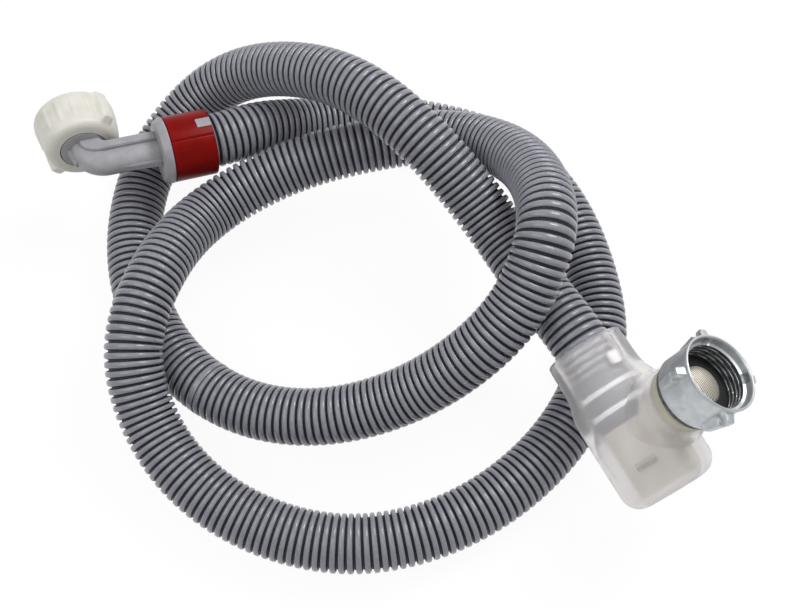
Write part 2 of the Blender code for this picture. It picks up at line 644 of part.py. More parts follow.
def main():
    clear_scene()
    jacket = material("jacket_plastic", (0.25, 0.25, 0.28), 0.45)
    frosted = material("frosted_plastic", (0.72, 0.70, 0.70), 0.35, alpha=0.55)
    dark = material("dark_rubber", (0.03, 0.03, 0.03), 0.6)
    coupling = material("coupling_plastic", (0.33, 0.34, 0.40), 0.5)
    beige = material("valve_plastic", (0.60, 0.56, 0.45), 0.45)
    amber = material("ring_plastic", (0.58, 0.55, 0.42), 0.4)
    zinc = material("cast_zinc", (0.42, 0.46, 0.47), 0.35, 0.9)
    steel = material("strainer_steel", (0.55, 0.52, 0.47), 0.35, 1.0)
    red = material("red_plastic", (0.25, 0.005, 0.005), 0.4)
    grey = material("elbow_plastic", (0.37, 0.37, 0.39), 0.45)
    white = material("white_plastic", (0.72, 0.71, 0.65), 0.45)
    pad = material("swelling_fibre", (0.60, 0.58, 0.52), 0.9)

    make_hose(jacket)
    hose_axis = empty("tap_hose_axis", square_frame(TAP_MOUTH, TAP_AXIS, TAP_PORT))
    port_place = Vector(TAP_MOUTH) + PORT_S * unit(TAP_AXIS)
    side = unit(TAP_AXIS)
    port = unit(TAP_PORT)
    port = port - port.dot(side) * side
    port_axis = empty("tap_port_axis", square_frame(port_place, port, TAP_AXIS))
    make_half("housing_near_shell", frosted, hose_axis, 1)
    make_half("housing_far_shell", frosted, hose_axis, -1)
    make_tap_coupling(hose_axis, coupling, dark, zinc)
    make_valve_body(hose_axis, beige)
    make_valve_inside(hose_axis, dark, white, pad)
    make_spigot(port_axis, beige, amber, dark, steel)
    make_union_nut(port_axis, zinc)

    ring_axis = empty("ring_axis", square_frame(RING_MOUTH, ELBOW_AXIS, ELBOW_PORT))
    corner = Vector(RING_MOUTH) + CORNER_S * unit(ELBOW_AXIS)
    way = unit(ELBOW_AXIS)
    nut_way = unit(ELBOW_PORT)
    nut_way = nut_way - nut_way.dot(way) * way
    nut_axis = empty("nut_axis", square_frame(corner, nut_way, ELBOW_AXIS))
    make_ring_end(ring_axis, red, grey, dark, zinc)
    make_elbow(ring_axis, grey)
    make_white_nut(nut_axis, white, dark)


main()
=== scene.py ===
# %% [markdown]
# # A water supply hose
# This lesson dresses a safety supply hose for a washing machine or dishwasher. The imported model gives
# the places of all its pieces. Here each piece that shows gets its fine shape and its finish.
# We start by loading that model, and keep its box, because the dressed hose has to stay inside it.

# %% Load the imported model
import math

import bmesh
import bpy
import numpy as np
from mathutils import Matrix, Vector


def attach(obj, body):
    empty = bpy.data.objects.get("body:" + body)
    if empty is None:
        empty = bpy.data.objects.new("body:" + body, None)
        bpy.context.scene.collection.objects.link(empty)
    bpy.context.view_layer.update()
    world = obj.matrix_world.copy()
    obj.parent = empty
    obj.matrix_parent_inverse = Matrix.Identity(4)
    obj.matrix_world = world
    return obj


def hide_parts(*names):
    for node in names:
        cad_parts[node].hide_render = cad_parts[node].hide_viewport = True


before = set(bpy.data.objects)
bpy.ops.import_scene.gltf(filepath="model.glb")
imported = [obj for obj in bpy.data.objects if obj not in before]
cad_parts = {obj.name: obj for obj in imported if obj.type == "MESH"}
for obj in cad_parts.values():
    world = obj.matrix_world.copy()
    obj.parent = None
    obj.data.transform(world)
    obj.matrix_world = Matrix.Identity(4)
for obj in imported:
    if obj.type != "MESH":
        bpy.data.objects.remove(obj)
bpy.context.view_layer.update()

MM = 0.001

# %% [markdown]
# ## The camera
# The photograph looks down on the hose at 66 degrees, from about 47 cm. Near things are clearly larger
# than far ones, so the distance matters as much as the angle. Both come from the ellipses of the two
# nuts and from the width of the hose near and far. We put the camera on a line that leaves the floor
# at that angle, and give it the lens that an image 800 pixels wide needs.

# %% Camera at the photograph's viewing angle
ELEVATION = math.radians(66.0)
DISTANCE = 468.0
AIM = Vector((13.5, 6.0, 0.0))
FOCAL_PIXELS = 1090.0
IMAGE_WIDTH = 800.0
SENSOR_WIDTH = 36.0

camera_data = bpy.data.cameras.new("camera")
camera = bpy.data.objects.new("camera", camera_data)
bpy.context.scene.collection.objects.link(camera)
bpy.context.scene.camera = camera
back = Vector((0.0, -math.cos(ELEVATION), math.sin(ELEVATION)))
right = Vector((1.0, 0.0, 0.0))
axes = Matrix((right, back.cross(right), back)).transposed().to_4x4()
camera.matrix_world = Matrix.Translation((AIM + DISTANCE * back) * MM) @ axes
camera_data.sensor_width = SENSOR_WIDTH
camera_data.lens = FOCAL_PIXELS / IMAGE_WIDTH * SENSOR_WIDTH
camera_data.clip_start = 0.02
camera_data.clip_end = 20.0
print("lens %.1f mm, camera %.0f mm above the floor" % (camera_data.lens, DISTANCE * back.z))

# %% [markdown]
# ## The way the hose lies
# A hose is a fixed length of something flexible, so its route comes before its shape. These points
# follow the photograph from the elbow to the valve housing. The third number is how far a strand is
# lifted off the floor, in hose diameters: 0 lies on the floor, and 1 lies on another strand.
# A cubic curve through the points, with its ends square to the two fittings, keeps the bends smooth.

# %% Where the two fittings are, in millimetres
JACKET_OD = 23.0
RING_MOUTH = np.array([-66.7, 65.3, 35.5])
TAP_MOUTH = np.array([83.0, -30.9, 42.1])
ELBOW_AXIS = np.array([-0.914, -0.357, 0.195])
ELBOW_PORT = np.array([-0.383, 0.915, -0.124])
TAP_AXIS = np.array([0.500, -0.859, -0.109])
TAP_PORT = np.array([0.437, 0.142, 0.888])
RING_GRIP = 8.0       # how far the hose goes into the red ring
TAP_GRIP = 12.0       # and how far into the valve housing
print("mouths %.0f mm apart" % np.linalg.norm(TAP_MOUTH - RING_MOUTH))

# %% Route of the hose
FLOOR_LIFT = 0.006    # a strand on the floor is kept a hair above it
ROUTE = [
    (-48.5, 74.5, 0.83), (-28.5, 84.0, 0.37), (0.0, 90.5, 0.06), (33.5, 86.5, FLOOR_LIFT),
    (61.0, 74.5, FLOOR_LIFT), (81.0, 51.5, FLOOR_LIFT), (93.0, 17.5, FLOOR_LIFT),
    (95.0, -17.5, FLOOR_LIFT), (82.5, -49.0, FLOOR_LIFT), (59.0, -75.0, FLOOR_LIFT),
    (27.5, -93.0, FLOOR_LIFT), (-5.5, -99.0, FLOOR_LIFT), (-38.0, -92.5, FLOOR_LIFT),
    (-66.0, -76.0, 0.13), (-85.0, -51.0, 0.45), (-90.0, -26.5, 0.96), (-84.0, 1.5, 1.07),
    (-68.0, 34.5, 0.65), (-33.0, 55.5, 0.82), (1.0, 64.0, 1.0), (30.5, 67.0, 1.07),
    (54.0, 54.0, 1.58), (67.0, 25.5, 2.38), (67.0, 3.0, 2.68), (60.0, -16.5, 2.24),
    (40.5, -35.0, 1.48), (14.0, -46.0, 0.76), (-18.0, -51.0, 0.36), (-50.0, -44.5, 0.13),
    (-78.5, -23.5, FLOOR_LIFT), (-96.5, 9.5, FLOOR_LIFT), (-100.5, 45.5, FLOOR_LIFT),
    (-93.0, 76.0, 0.07), (-70.5, 97.0, 0.63), (-32.0, 91.0, 1.7), (-2.5, 72.5, 2.22),
    (23.5, 49.5, 2.09), (51.0, 20.5, 1.4), (71.0, -11.5, 1.32),
]
print(len(ROUTE), "points between the fittings")


# %% A smooth curve through points
def unit(v):
    return np.asarray(v, float) / np.linalg.norm(v)


def clamped_curve(points, start_way, end_way, steps=60):
    """Dense points on a cubic curve through the given ones, with its ways fixed at both ends."""
    p = np.asarray(points, float)
    span = np.linalg.norm(np.diff(p, axis=0), axis=1)
    count = len(p)
    system = np.eye(count)
    known = np.zeros((count, 3))
    known[0], known[-1] = start_way, end_way
    for i in range(1, count - 1):
        before, after = span[i - 1], span[i]
        system[i, i - 1:i + 2] = after, 2 * (before + after), before
        known[i] = 3 * (after / before * (p[i] - p[i - 1]) + before / after * (p[i + 1] - p[i]))
    way = np.linalg.solve(system, known)
    dense = []
    for i in range(count - 1):
        t = np.linspace(0, 1, steps, endpoint=False)[:, None]
        dense.append((2 * t**3 - 3 * t**2 + 1) * p[i] + (t**3 - 2 * t**2 + t) * span[i] * way[i]
                     + (3 * t**2 - 2 * t**3) * p[i + 1] + (t**3 - t**2) * span[i] * way[i + 1])
    return np.vstack(dense + [p[-1:]])


# %% Lay the route and measure it
corners = [RING_MOUTH] + [(x, y, JACKET_OD * (0.5 + lift)) for x, y, lift in ROUTE] + [TAP_MOUTH]
route = clamped_curve(corners, -unit(ELBOW_AXIS), unit(TAP_AXIS))
ring_end = RING_MOUTH + RING_GRIP * unit(ELBOW_AXIS)
tap_end = TAP_MOUTH + TAP_GRIP * unit(TAP_AXIS)
route = np.vstack([ring_end, route, tap_end])
along = np.concatenate([[0], np.cumsum(np.linalg.norm(np.diff(route, axis=0), axis=1))])
hose_length = along[-1]


def on_route(distances):
    return np.stack([np.interp(distances, along, route[:, k]) for k in range(3)], axis=1)


print("hose length %.0f mm, lowest centre %.1f mm" % (hose_length, route[:, 2].min()))

# %% [markdown]
# ## Helpers for meshes
# Most pieces are rings of points joined by quads: the hose, the turned nuts, the swept elbow. So one
# function joins rings. It takes an array of rings by points by three numbers, in millimetres, and
# closes each ring on itself. The ends are closed by a flat face, or the last ring joins the first.

# %% Join rings of points into a mesh
def ring_faces(count, around, loop):
    """Quads between each ring and the next one."""
    rows = count if loop else count - 1
    i = np.arange(rows)[:, None]
    j = np.arange(around)[None, :]
    k = (j + 1) % around
    n = (i + 1) % count
    quads = [i * around + j, i * around + k, n * around + k, n * around + j]
    return np.stack(quads, axis=-1).reshape(-1, 4)


def mesh_of(name, rings, loop=False, paint_index=None):
    """A mesh of joined rings. A loop joins the last ring to the first, and other ends get a face."""
    rings = np.asarray(rings, float)
    count, around, _ = rings.shape
    faces = ring_faces(count, around, loop).tolist()
    if not loop:
        faces.append(list(range(around - 1, -1, -1)))
        faces.append(list(range((count - 1) * around, count * around)))
    mesh = bpy.data.meshes.new(name)
    mesh.from_pydata((rings.reshape(-1, 3) * MM).tolist(), [], faces)
    mesh.polygons.foreach_set("use_smooth", [True] * len(mesh.polygons))
    if paint_index is not None:
        chosen = np.zeros(len(mesh.polygons), int)
        rows = len(paint_index)
        chosen[:rows * around] = np.repeat(paint_index, around)
        mesh.polygons.foreach_set("material_index", chosen)
    bm = bmesh.new()
    bm.from_mesh(mesh)
    bmesh.ops.recalc_face_normals(bm, faces=bm.faces)
    bm.to_mesh(mesh)
    bm.free()
    mesh.update()
    return mesh


def shade(mesh, degrees):
    """Smooth shading that stops at edges sharper than an angle."""
    mesh.polygons.foreach_set("use_smooth", [True] * len(mesh.polygons))
    mesh.set_sharp_from_angle(angle=math.radians(degrees))


# %% Put a piece in the scene, riding on its body
def add_piece(name, mesh, body, materials, replaces, place=None):
    """Put a mesh in the scene as a piece that rides on a body. Its place goes into its points."""
    piece = bpy.data.objects.new(name, mesh)
    bpy.context.scene.collection.objects.link(piece)
    if place is not None:
        mesh.transform(place)
    for finish in materials:
        piece.data.materials.append(finish)
    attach(piece, body)
    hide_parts(*replaces)
    return piece


def triangles(piece):
    return sum(len(face.vertices) - 2 for face in piece.data.polygons)


# %% [markdown]
# ## Helpers for materials
# A material here is a small graph of nodes. One function adds a node, sets its settings and links its
# inputs, so each graph reads as a list. Colours are written as hex values, the way a colour picker
# shows them, and turned into the linear numbers that the shader works in. Nearly every finish on this
# hose has spots of some real size that change its colour and its gloss a little, and a finer grain that
# raises its surface. These two patterns are needed again and again, so each has a function.

# %% Colours and nodes
def linear(hex_color):
    """A colour as written in sRGB hex, turned into linear RGBA."""
    values = [int(hex_color[i:i + 2], 16) / 255 for i in (1, 3, 5)]
    return tuple(v / 12.92 if v <= 0.04045 else ((v + 0.055) / 1.055) ** 2.4 for v in values) + (1.0,)


def add_node(tree, kind, settings=None, stops=(), **inputs):
    """Add a node. Settings are its attributes, and stops are a ramp's (position, colour) pairs.
    Inputs are values or other nodes' sockets, by name, or by number as i0, i1 and so on."""
    node = tree.nodes.new(kind)
    for key, value in (settings or {}).items():
        setattr(node, key, value)
    for number, (position, color) in enumerate(stops):
        node.color_ramp.elements[number].position = position
        node.color_ramp.elements[number].color = linear(color)
    for key, value in inputs.items():
        numbered = key[0] == "i" and key[1:].isdigit()
        socket = node.inputs[int(key[1:]) if numbered else key.replace("_", " ")]
        if isinstance(value, bpy.types.NodeSocket):
            tree.links.new(value, socket)
        else:
            socket.default_value = value
    return node


def new_material(name):
    """An empty material with a Principled shader. Returns it, its tree and the shader."""
    made = bpy.data.materials.new(name)
    made.use_nodes = True
    tree = made.node_tree
    return made, tree, tree.nodes["Principled BSDF"]


def set_shader(shader, **values):
    for key, value in values.items():
        shader.inputs[key.replace("_", " ")].default_value = value


# %% Two patterns that most finishes share
def spots(tree, size_mm, detail):
    """Noise whose spots are about size_mm across, in the piece's own space."""
    space = add_node(tree, "ShaderNodeTexCoord")
    noise = add_node(tree, "ShaderNodeTexNoise", Vector=space.outputs["Object"],
                     Scale=1.0 / (size_mm * MM), Detail=detail)
    return noise.outputs["Fac"]


def mottle(tree, shader, size_mm, dark, light, detail=2.0, low=0.35, high=0.65, rough=None):
    """Spots that carry the colour between two hex values, and the roughness between two numbers."""
    cloud = spots(tree, size_mm, detail)
    color = add_node(tree, "ShaderNodeValToRGB", stops=[(low, dark), (high, light)], Fac=cloud)
    tree.links.new(color.outputs["Color"], shader.inputs["Base Color"])
    if rough:
        level = add_node(tree, "ShaderNodeMapRange", Value=cloud, To_Min=rough[0], To_Max=rough[1])
        tree.links.new(level.outputs["Result"], shader.inputs["Roughness"])


def grain(tree, shader, size_mm, depth_mm, strength, detail=1.0):
    """Spots that raise the surface a little."""
    height = spots(tree, size_mm, detail)
    raised = add_node(tree, "ShaderNodeBump", Height=height, Distance=depth_mm * MM, Strength=strength)
    tree.links.new(raised.outputs["Normal"], shader.inputs["Normal"])


# %% [markdown]
# ## The corrugated jacket
# The jacket is a thin tube of grey polypropylene. It leaves the extruder soft and is sucked into a
# chain of half moulds, which gives it a round-topped ridge every 3 mm, and a groove between ridges
# that the tube bends in. Light hardly gets into the grooves, so they look nearly black, and their
# bottoms get a painted shade.
# A bump map can't do this, because the ridges show as teeth on the outline. So we build every ridge:
# rings of points run along the route, and their radius follows one ridge's outline again and again.

# %% Jacket materials
PLASTIC_IOR = 1.49


def jacket_ridge_material():
    """Moulded polypropylene: a soft sheen that stretches along each ridge, and faint scuffs."""
    made, tree, shader = new_material("jacket_ridge_polypropylene")
    mottle(tree, shader, 1.4, "#84858d", "#8e8f98", detail=4.0, low=0.3, high=0.7, rough=(0.15, 0.24))
    set_shader(shader, IOR=PLASTIC_IOR)
    grain(tree, shader, 0.5, depth_mm=0.02, strength=0.3)
    return made


def jacket_groove_shade_material():
    """The same plastic at the bottom of a groove, coloured dark and dull: painted shade."""
    made, tree, shader = new_material("jacket_groove_painted_shade")
    # Painted shade: the bottom of each groove is coloured near black.
    mottle(tree, shader, 0.9, "#2c2b31", "#3c3b42")
    set_shader(shader, Roughness=0.6, IOR=PLASTIC_IOR)
    return made


jacket_ridge = jacket_ridge_material()
jacket_groove_shade = jacket_groove_shade_material()
print("materials:", jacket_ridge.name, "and", jacket_groove_shade.name)

# %% Outline of one ridge
RIDGE_PITCH = 3.0
GROOVE_DEPTH = 1.65
CREST_R = JACKET_OD / 2 - 0.1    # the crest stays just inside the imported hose
WIDE_RIDGE_AT = 953.0            # one ridge of the real jacket is nearly twice as wide
# Share of a pitch, share of the groove's depth, and 1 where the groove's painted shade follows.
RIDGE_OUTLINE = [(0.03, 1.0, 1), (0.23, 1.0, 1), (0.30, 0.36, 0), (0.375, 0.07, 0), (0.63, 0.0, 0),
                 (0.88, 0.07, 0), (0.96, 0.36, 1)]
WIDE_RIDGE = [(share, 0.0 if share < 0.9 else depth, int(share > 0.9))
              for share, depth, _ in RIDGE_OUTLINE]


def jacket_rows():
    """Distance along the hose and radius of each ring, and which finish follows it."""
    pitches = int(hose_length / RIDGE_PITCH)
    pitch = hose_length / pitches
    wide = round(WIDE_RIDGE_AT / pitch)
    made = []
    for ridge in range(pitches):
        for share, depth, groove in (WIDE_RIDGE if ridge == wide else RIDGE_OUTLINE):
            made.append(((ridge + share) * pitch, CREST_R - GROOVE_DEPTH * depth, groove))
    return made


rows = jacket_rows()
print(len(rows) // len(RIDGE_OUTLINE), "ridges of", len(RIDGE_OUTLINE), "rings each")


# %% Jacket mesh, ring by ring
def frames_along(points):
    """Two directions square to the line at each point, carried along without twist."""
    way = np.gradient(points, axis=0)
    way /= np.linalg.norm(way, axis=1)[:, None]
    side = np.zeros_like(way)
    side[0] = unit(np.cross(way[0], (0, 0, 1)))
    for i in range(1, len(way)):
        side[i] = unit(side[i - 1] - way[i] * (side[i - 1] @ way[i]))
    return side, np.cross(way, side)


AROUND = 30
centres = on_route([row[0] for row in rows])
across, over = frames_along(centres)
angles = np.linspace(0, 2 * math.pi, AROUND, endpoint=False)[None, :, None]
circle = np.cos(angles) * across[:, None, :] + np.sin(angles) * over[:, None, :]
radii = np.array([row[1] for row in rows])[:, None, None]
# Faces at the bottom of each groove get the second material, a painted shade.
hose_mesh = mesh_of("hose_jacket", centres[:, None, :] + circle * radii,
                    paint_index=[row[2] for row in rows[:-1]])
hose = add_piece("hose_jacket", hose_mesh, "hose_and_fittings", [jacket_ridge, jacket_groove_shade],
                 ["hose"])
print("jacket: %d rings, %d triangles" % (len(rows), triangles(hose)))

# %% [markdown]
# It leaves the red ring at one end and goes back into the valve housing at the other, so its far end
# is the object.

print("cord declared: %.3f m" % (hose_length * MM))

# %% [markdown]
# ## Frames of the two fittings
# Each fitting is easiest to draw in its own frame. We make four: along the hose and along the nut, at
# each end. Z runs along the piece, so a turned piece is always turned about Z.

# %% Fitting frames
PORT_S = 36.4         # from the housing's mouth to the axis of its port
CORNER_S = 50.5       # from the red ring's mouth to the corner of the elbow


def square_frame(origin, forward, sideways):
    z = unit(forward)
    x = unit(np.asarray(sideways) - np.dot(sideways, z) * z)
    turned_axes = Matrix((x, np.cross(z, x), z)).transposed().to_4x4()
    return Matrix.Translation(Vector(origin) * MM) @ turned_axes


tap_hose_frame = square_frame(TAP_MOUTH, TAP_AXIS, TAP_PORT)
port = TAP_PORT - np.dot(TAP_PORT, unit(TAP_AXIS)) * unit(TAP_AXIS)
tap_port_frame = square_frame(TAP_MOUTH + PORT_S * unit(TAP_AXIS), port, TAP_AXIS)
ring_frame = square_frame(RING_MOUTH, ELBOW_AXIS, ELBOW_PORT)
nut_way = ELBOW_PORT - np.dot(ELBOW_PORT, unit(ELBOW_AXIS)) * unit(ELBOW_AXIS)
nut_frame = square_frame(RING_MOUTH + CORNER_S * unit(ELBOW_AXIS), nut_way, ELBOW_AXIS)
print("the tap's nut points", [round(v, 2) for v in port])


# %% Turned pieces
def rounded(outline, radius, steps=3):
    """Round the corners of a closed outline of (radius, height) by cutting each with a small arc."""
    count = len(outline)
    points = [np.array(p[:2], float) for p in outline]
    made = []
    for i in range(count):
        corner, before, after = points[i], points[i - 1], points[(i + 1) % count]
        into, out = before - corner, after - corner
        reach = min(radius, 0.45 * np.linalg.norm(into), 0.45 * np.linalg.norm(out))
        first, last = corner + unit(into) * reach, corner + unit(out) * reach
        for k in range(steps + 1):
            t = k / steps
            made.append(tuple((1 - t)**2 * first + 2 * t * (1 - t) * corner + t**2 * last))
    return made


def turn_rings(outline, around=96):
    """Rings of points for an outline of (radius, height) turned about Z."""
    a = np.linspace(0, 2 * math.pi, around, endpoint=False)
    r = np.array([p[0] for p in outline])[:, None]
    z = np.array([p[1] for p in outline])[:, None]
    return np.stack([r * np.cos(a), r * np.sin(a), z + 0 * a], axis=-1)


def tube_outline(inner_r, outer_r, low, high):
    return [(inner_r, low), (outer_r, low), (outer_r, high), (inner_r, high)]


def turned_piece(name, outline, radius, finish, node, place):
    """A ring turned about Z with its corners rounded. It rides with the hose."""
    mesh = mesh_of(name, turn_rings(rounded(outline, radius)), loop=True)
    return add_piece(name, mesh, "hose_and_fittings", [finish], [node], place)


# %% [markdown]
# ## Plastics of the tap end
# The housing is polypropylene moulded without colour. It isn't clear: its crystals scatter light, so it
# looks like thin milk, and what lies behind it is blurred. We let part of the light through with a
# rough transmission, and keep the rest as a pale surface.

# %% Frosted and moulded plastics
def frosted_material():
    """Natural polypropylene: milky, with a waxy sheen and blurred shapes behind it."""
    made, tree, shader = new_material("housing_natural_polypropylene")
    mottle(tree, shader, 9.0, "#f3f1f1", "#f9f8f8", detail=1.0)
    set_shader(shader, Roughness=0.42, IOR=1.08, Transmission_Weight=0.78)
    grain(tree, shader, 0.8, depth_mm=0.04, strength=0.25, detail=2.0)
    return made


def moulded_material(name, dark, light, roughness, spot_mm=3.0):
    """An opaque moulded plastic: nearly even colour, and a fine grain from the mould's spark erosion."""
    made, tree, shader = new_material(name)
    mottle(tree, shader, spot_mm, dark, light, rough=(roughness - 0.05, roughness + 0.05))
    set_shader(shader, IOR=PLASTIC_IOR)
    grain(tree, shader, 0.6, depth_mm=0.03, strength=0.5)
    return made


# %% The plastics of the tap end
frosted = frosted_material()
# Uncoloured acetal: beige and waxy. Through the frosted wall it warms the lower half of the housing.
valve_plastic = moulded_material("valve_acetal", "#bfb9ac", "#c9c3b7", 0.45)
# Dark polyamide: what the wall leaves of it is a soft blue-grey.
coupling_plastic = moulded_material("coupling_polyamide", "#444a5c", "#4e5467", 0.5)
# Old natural polyamide: light goes a few millimetres in, so its shaded side stays warm and pale.
amber_plastic = moulded_material("spigot_ring_polyamide", "#d3d0bd", "#dcd9c8", 0.35)
set_shader(amber_plastic.node_tree.nodes["Principled BSDF"], Transmission_Weight=0.25,
           Subsurface_Weight=0.3, Subsurface_Radius=(0.004, 0.004, 0.003), Subsurface_Scale=1.0)
# The tongue is painted a little darker than the wall, as painted shade, so the slot reads as an opening. The
# latch is whiter: painted light.
tongue_shade_plastic = moulded_material("catch_tongue_painted_shade", "#b3b0aa", "#bdbab4", 0.5)
contact_light_plastic = moulded_material("latch_and_ribs_painted_light", "#f0f0f1", "#f6f6f6", 0.4)
# Rubber with soot in it: nearly black, and dull. Felt: pale fibres with no shine at all.
dark_rubber = moulded_material("washer_nitrile_rubber", "#0d0d0e", "#161617", 0.65)
felt = moulded_material("swelling_pad_felt", "#c9c4b6", "#d8d4c8", 0.95)
print("tap end plastics ready")

# %% [markdown]
# ## The valve housing
# The housing is two half shells that meet in the plane of the hose and the port. Each is a loft: rings
# of points along the hose, round at the mouth and drawn out towards the port further on. The neck of
# the port is joined on by a Boolean, and the inside is cut away, so the walls are as thick as real
# ones and the valve shows through them.

# %% Sections of the housing
HOUSING_LENGTH = 62.6
HOUSING_R = 18.3
HOUSING_CORNER = 7.5
WALL = 2.2
COLLAR_R = 15.5


def drawn_out(s, radius, lift, around=112):
    """A ring that is round and drawn out towards the port by lift."""
    a = np.linspace(0, 2 * math.pi, around, endpoint=False)
    share = np.clip(0.5 + 1.2 * np.cos(a), 0, 1)
    return np.stack([radius * np.cos(a) + lift * share, radius * np.sin(a), s + 0 * a], axis=-1)


def smooth_sections(table, step=0.8, reach=6):
    """Rings every step of a millimetre through a table of (s, radius, lift), with its bends softened."""
    table = np.array(table, float)
    s = np.append(np.arange(table[0, 0], table[-1, 0], step), table[-1, 0])
    kernel = np.exp(-0.5 * (np.arange(-reach, reach + 1) / 2.0)**2)
    kernel /= kernel.sum()
    made = []
    for column in (1, 2):
        value = np.interp(s, table[:, 0], table[:, column])
        padded = np.concatenate([np.full(reach, value[0]), value, np.full(reach, value[-1])])
        made.append(np.convolve(padded, kernel, mode="valid"))
    return [drawn_out(*row) for row in zip(s, made[0], made[1])]


def end_sections(end, radius, corner, steps=9):
    """The rounded end: rings that close in along a quarter of a circle."""
    rings = []
    for i in range(1, steps + 1):
        angle = math.pi / 2 * i / steps
        s = end - corner + corner * math.sin(angle)
        rings.append(drawn_out(s, radius - corner + corner * math.cos(angle), 1.0 - 0.5 * i / steps))
    return rings


# %% Outside and inside of the housing
def outside_sections():
    sections = [drawn_out(0.0, COLLAR_R - 1.4, 0.0), drawn_out(0.3, COLLAR_R - 0.7, 0.0)]
    sections += smooth_sections([
        (0.8, COLLAR_R - 0.3, 0.0), (3.6, COLLAR_R + 0.1, 0.0), (8.0, COLLAR_R, 0.0),
        (10.9, COLLAR_R + 0.1, 0.0), (13.8, COLLAR_R + 0.2, 0.0), (16.7, COLLAR_R + 0.6, 0.1),
        (19.3, COLLAR_R + 1.6, 0.3), (21.8, COLLAR_R + 2.4, 0.6), (24.8, HOUSING_R, 0.9),
        (32.8, HOUSING_R, 1.0), (HOUSING_LENGTH - HOUSING_CORNER, HOUSING_R, 1.0)])
    return sections + end_sections(HOUSING_LENGTH, HOUSING_R, HOUSING_CORNER)


def inside_sections():
    inner = HOUSING_R - WALL
    sections = smooth_sections([(28.8, 11.9, 0.4), (33.1, inner - 1.0, 0.8), (37.9, inner, 1.0),
                                (HOUSING_LENGTH - HOUSING_CORNER, inner, 1.0)])
    return sections + end_sections(HOUSING_LENGTH - WALL, inner, HOUSING_CORNER - WALL)


print("housing: %d rings outside, %d inside" % (len(outside_sections()), len(inside_sections())))


# %% Tools that cut the shells
def helper_solid(name, mesh, place):
    """A solid that only serves a Boolean. It is removed after the Boolean is applied."""
    made = bpy.data.objects.new(name, mesh)
    bpy.context.scene.collection.objects.link(made)
    made.matrix_world = place
    return made


def apply_boolean(piece, helper, operation):
    step = piece.modifiers.new("cut", "BOOLEAN")
    step.operation = operation
    step.solver = "EXACT"
    step.object = helper
    bpy.context.view_layer.update()
    depsgraph = bpy.context.evaluated_depsgraph_get()
    mesh = bpy.data.meshes.new_from_object(piece.evaluated_get(depsgraph))
    piece.modifiers.clear()
    piece.data = mesh
    bpy.data.objects.remove(helper)


def port_turned(name, outline, around=96):
    """A turned solid about the port's axis, in the frame along the hose."""
    rings = turn_rings(outline, around)
    rings = np.stack([rings[..., 2], rings[..., 1], PORT_S - rings[..., 0]], axis=-1)
    return mesh_of(name, rings)


def block_mesh(name, low, high):
    (x0, y0, z0), (x1, y1, z1) = low, high
    return mesh_of(name, [[(x0, y0, z), (x1, y0, z), (x1, y1, z), (x0, y1, z)] for z in (z0, z1)])


def wall_patch(name, s, angle, length, width, low, high, corner=0.9):
    """A curved patch with rounded corners, between two radii of the wall, at a distance and an angle."""
    half_width, half_length = width / 2, length / 2
    corners = rounded([(-half_width, -half_length), (half_width, -half_length),
                       (half_width, half_length), (-half_width, half_length)], corner, 4)
    rings = []
    for radius in (low, high):
        turned = [(math.radians(angle) + across / high, s + far) for across, far in corners]
        rings.append([(radius * math.cos(t), radius * math.sin(t), z) for t, z in turned])
    return mesh_of(name, rings)


# %% [markdown]
# Three small places break the smooth wall: a latch near the mouth that shows through it in a whiter plastic,
# which is painted light, a shallow pocket beside the neck, and a slot further down. They are patches of the
# wall's own curve. The steps below keep one half before the neck is joined on, and take the other half away
# once it is, because the exact Boolean works best when no two faces of its solids lie in one plane.

# %% Steps that make a half shell
NECK_FOOT_R = 15.0
NECK_R = 13.2
NECK_TOP = 25.2
PORT_BORE_R = 9.0
GRIP_R = JACKET_OD / 2 + 0.35      # the room for the jacket
SLEEVE_ROOM_R = 12.15              # the room for the coupling beyond it
SEAM = 0.15                        # half of the gap between the shells
# The blocks that halve the housing reach well past it on all sides.
BLOCK_SIDE = 40.0
BLOCK_LOW = (-40.0, -5.0)
BLOCK_HIGH = (50.0, 90.0)
LATCH = (10.4, 11.5, 5.4, 4.6)     # distance, angle, length along the hose, width around it
TAB_POCKET = (21.8, 12.0, 2.4, 6.0)
SLOT = (48.9, 56.0, 3.4, 9.6)


def half_block(name, from_y, to_y, margin):
    """A block on one side of the seam, larger than the housing all round."""
    low_y, high_y = sorted((from_y, to_y))
    return block_mesh(name, (BLOCK_LOW[0] - margin, low_y, BLOCK_LOW[1] - margin),
                      (BLOCK_HIGH[0] + margin, high_y, BLOCK_HIGH[1] + margin))


def shell_steps(side):
    """The solids that shape a half shell, in order, with what each of them does."""
    neck_outline = [(NECK_FOOT_R, 0.0), (NECK_FOOT_R, 20.9), (14.8, 21.4), (14.0, 21.8), (13.5, 22.2),
                    (NECK_R, 22.8), (NECK_R, NECK_TOP - 0.4), (NECK_R - 0.4, NECK_TOP)]
    bore_outline = [(PORT_BORE_R, 8.0), (PORT_BORE_R, NECK_TOP + 3.0)]
    grip = turn_rings([(GRIP_R, -2.0), (GRIP_R, TAP_GRIP + 1)])
    sleeve = turn_rings([(SLEEVE_ROOM_R, TAP_GRIP), (SLEEVE_ROOM_R, PORT_S)], 90)
    steps = [(half_block("half", side * SEAM, side * BLOCK_SIDE, 0), "INTERSECT"),
             (port_turned("neck", neck_outline), "UNION"),
             (half_block("other half", side * SEAM, -side * BLOCK_SIDE, 1), "DIFFERENCE"),
             (mesh_of("grip", grip), "DIFFERENCE"),
             (mesh_of("sleeve", sleeve), "DIFFERENCE"),
             (mesh_of("room", inside_sections()), "DIFFERENCE"),
             (port_turned("bore", bore_outline, 90), "DIFFERENCE")]
    if side > 0:
        steps += [(wall_patch("latch room", *LATCH, low=11.6, high=14.4), "DIFFERENCE"),
                  (wall_patch("tab pocket", *TAB_POCKET, low=17.5, high=21.0), "DIFFERENCE"),
                  (wall_patch("slot", *SLOT, low=17.6, high=21.0), "DIFFERENCE")]
    return steps


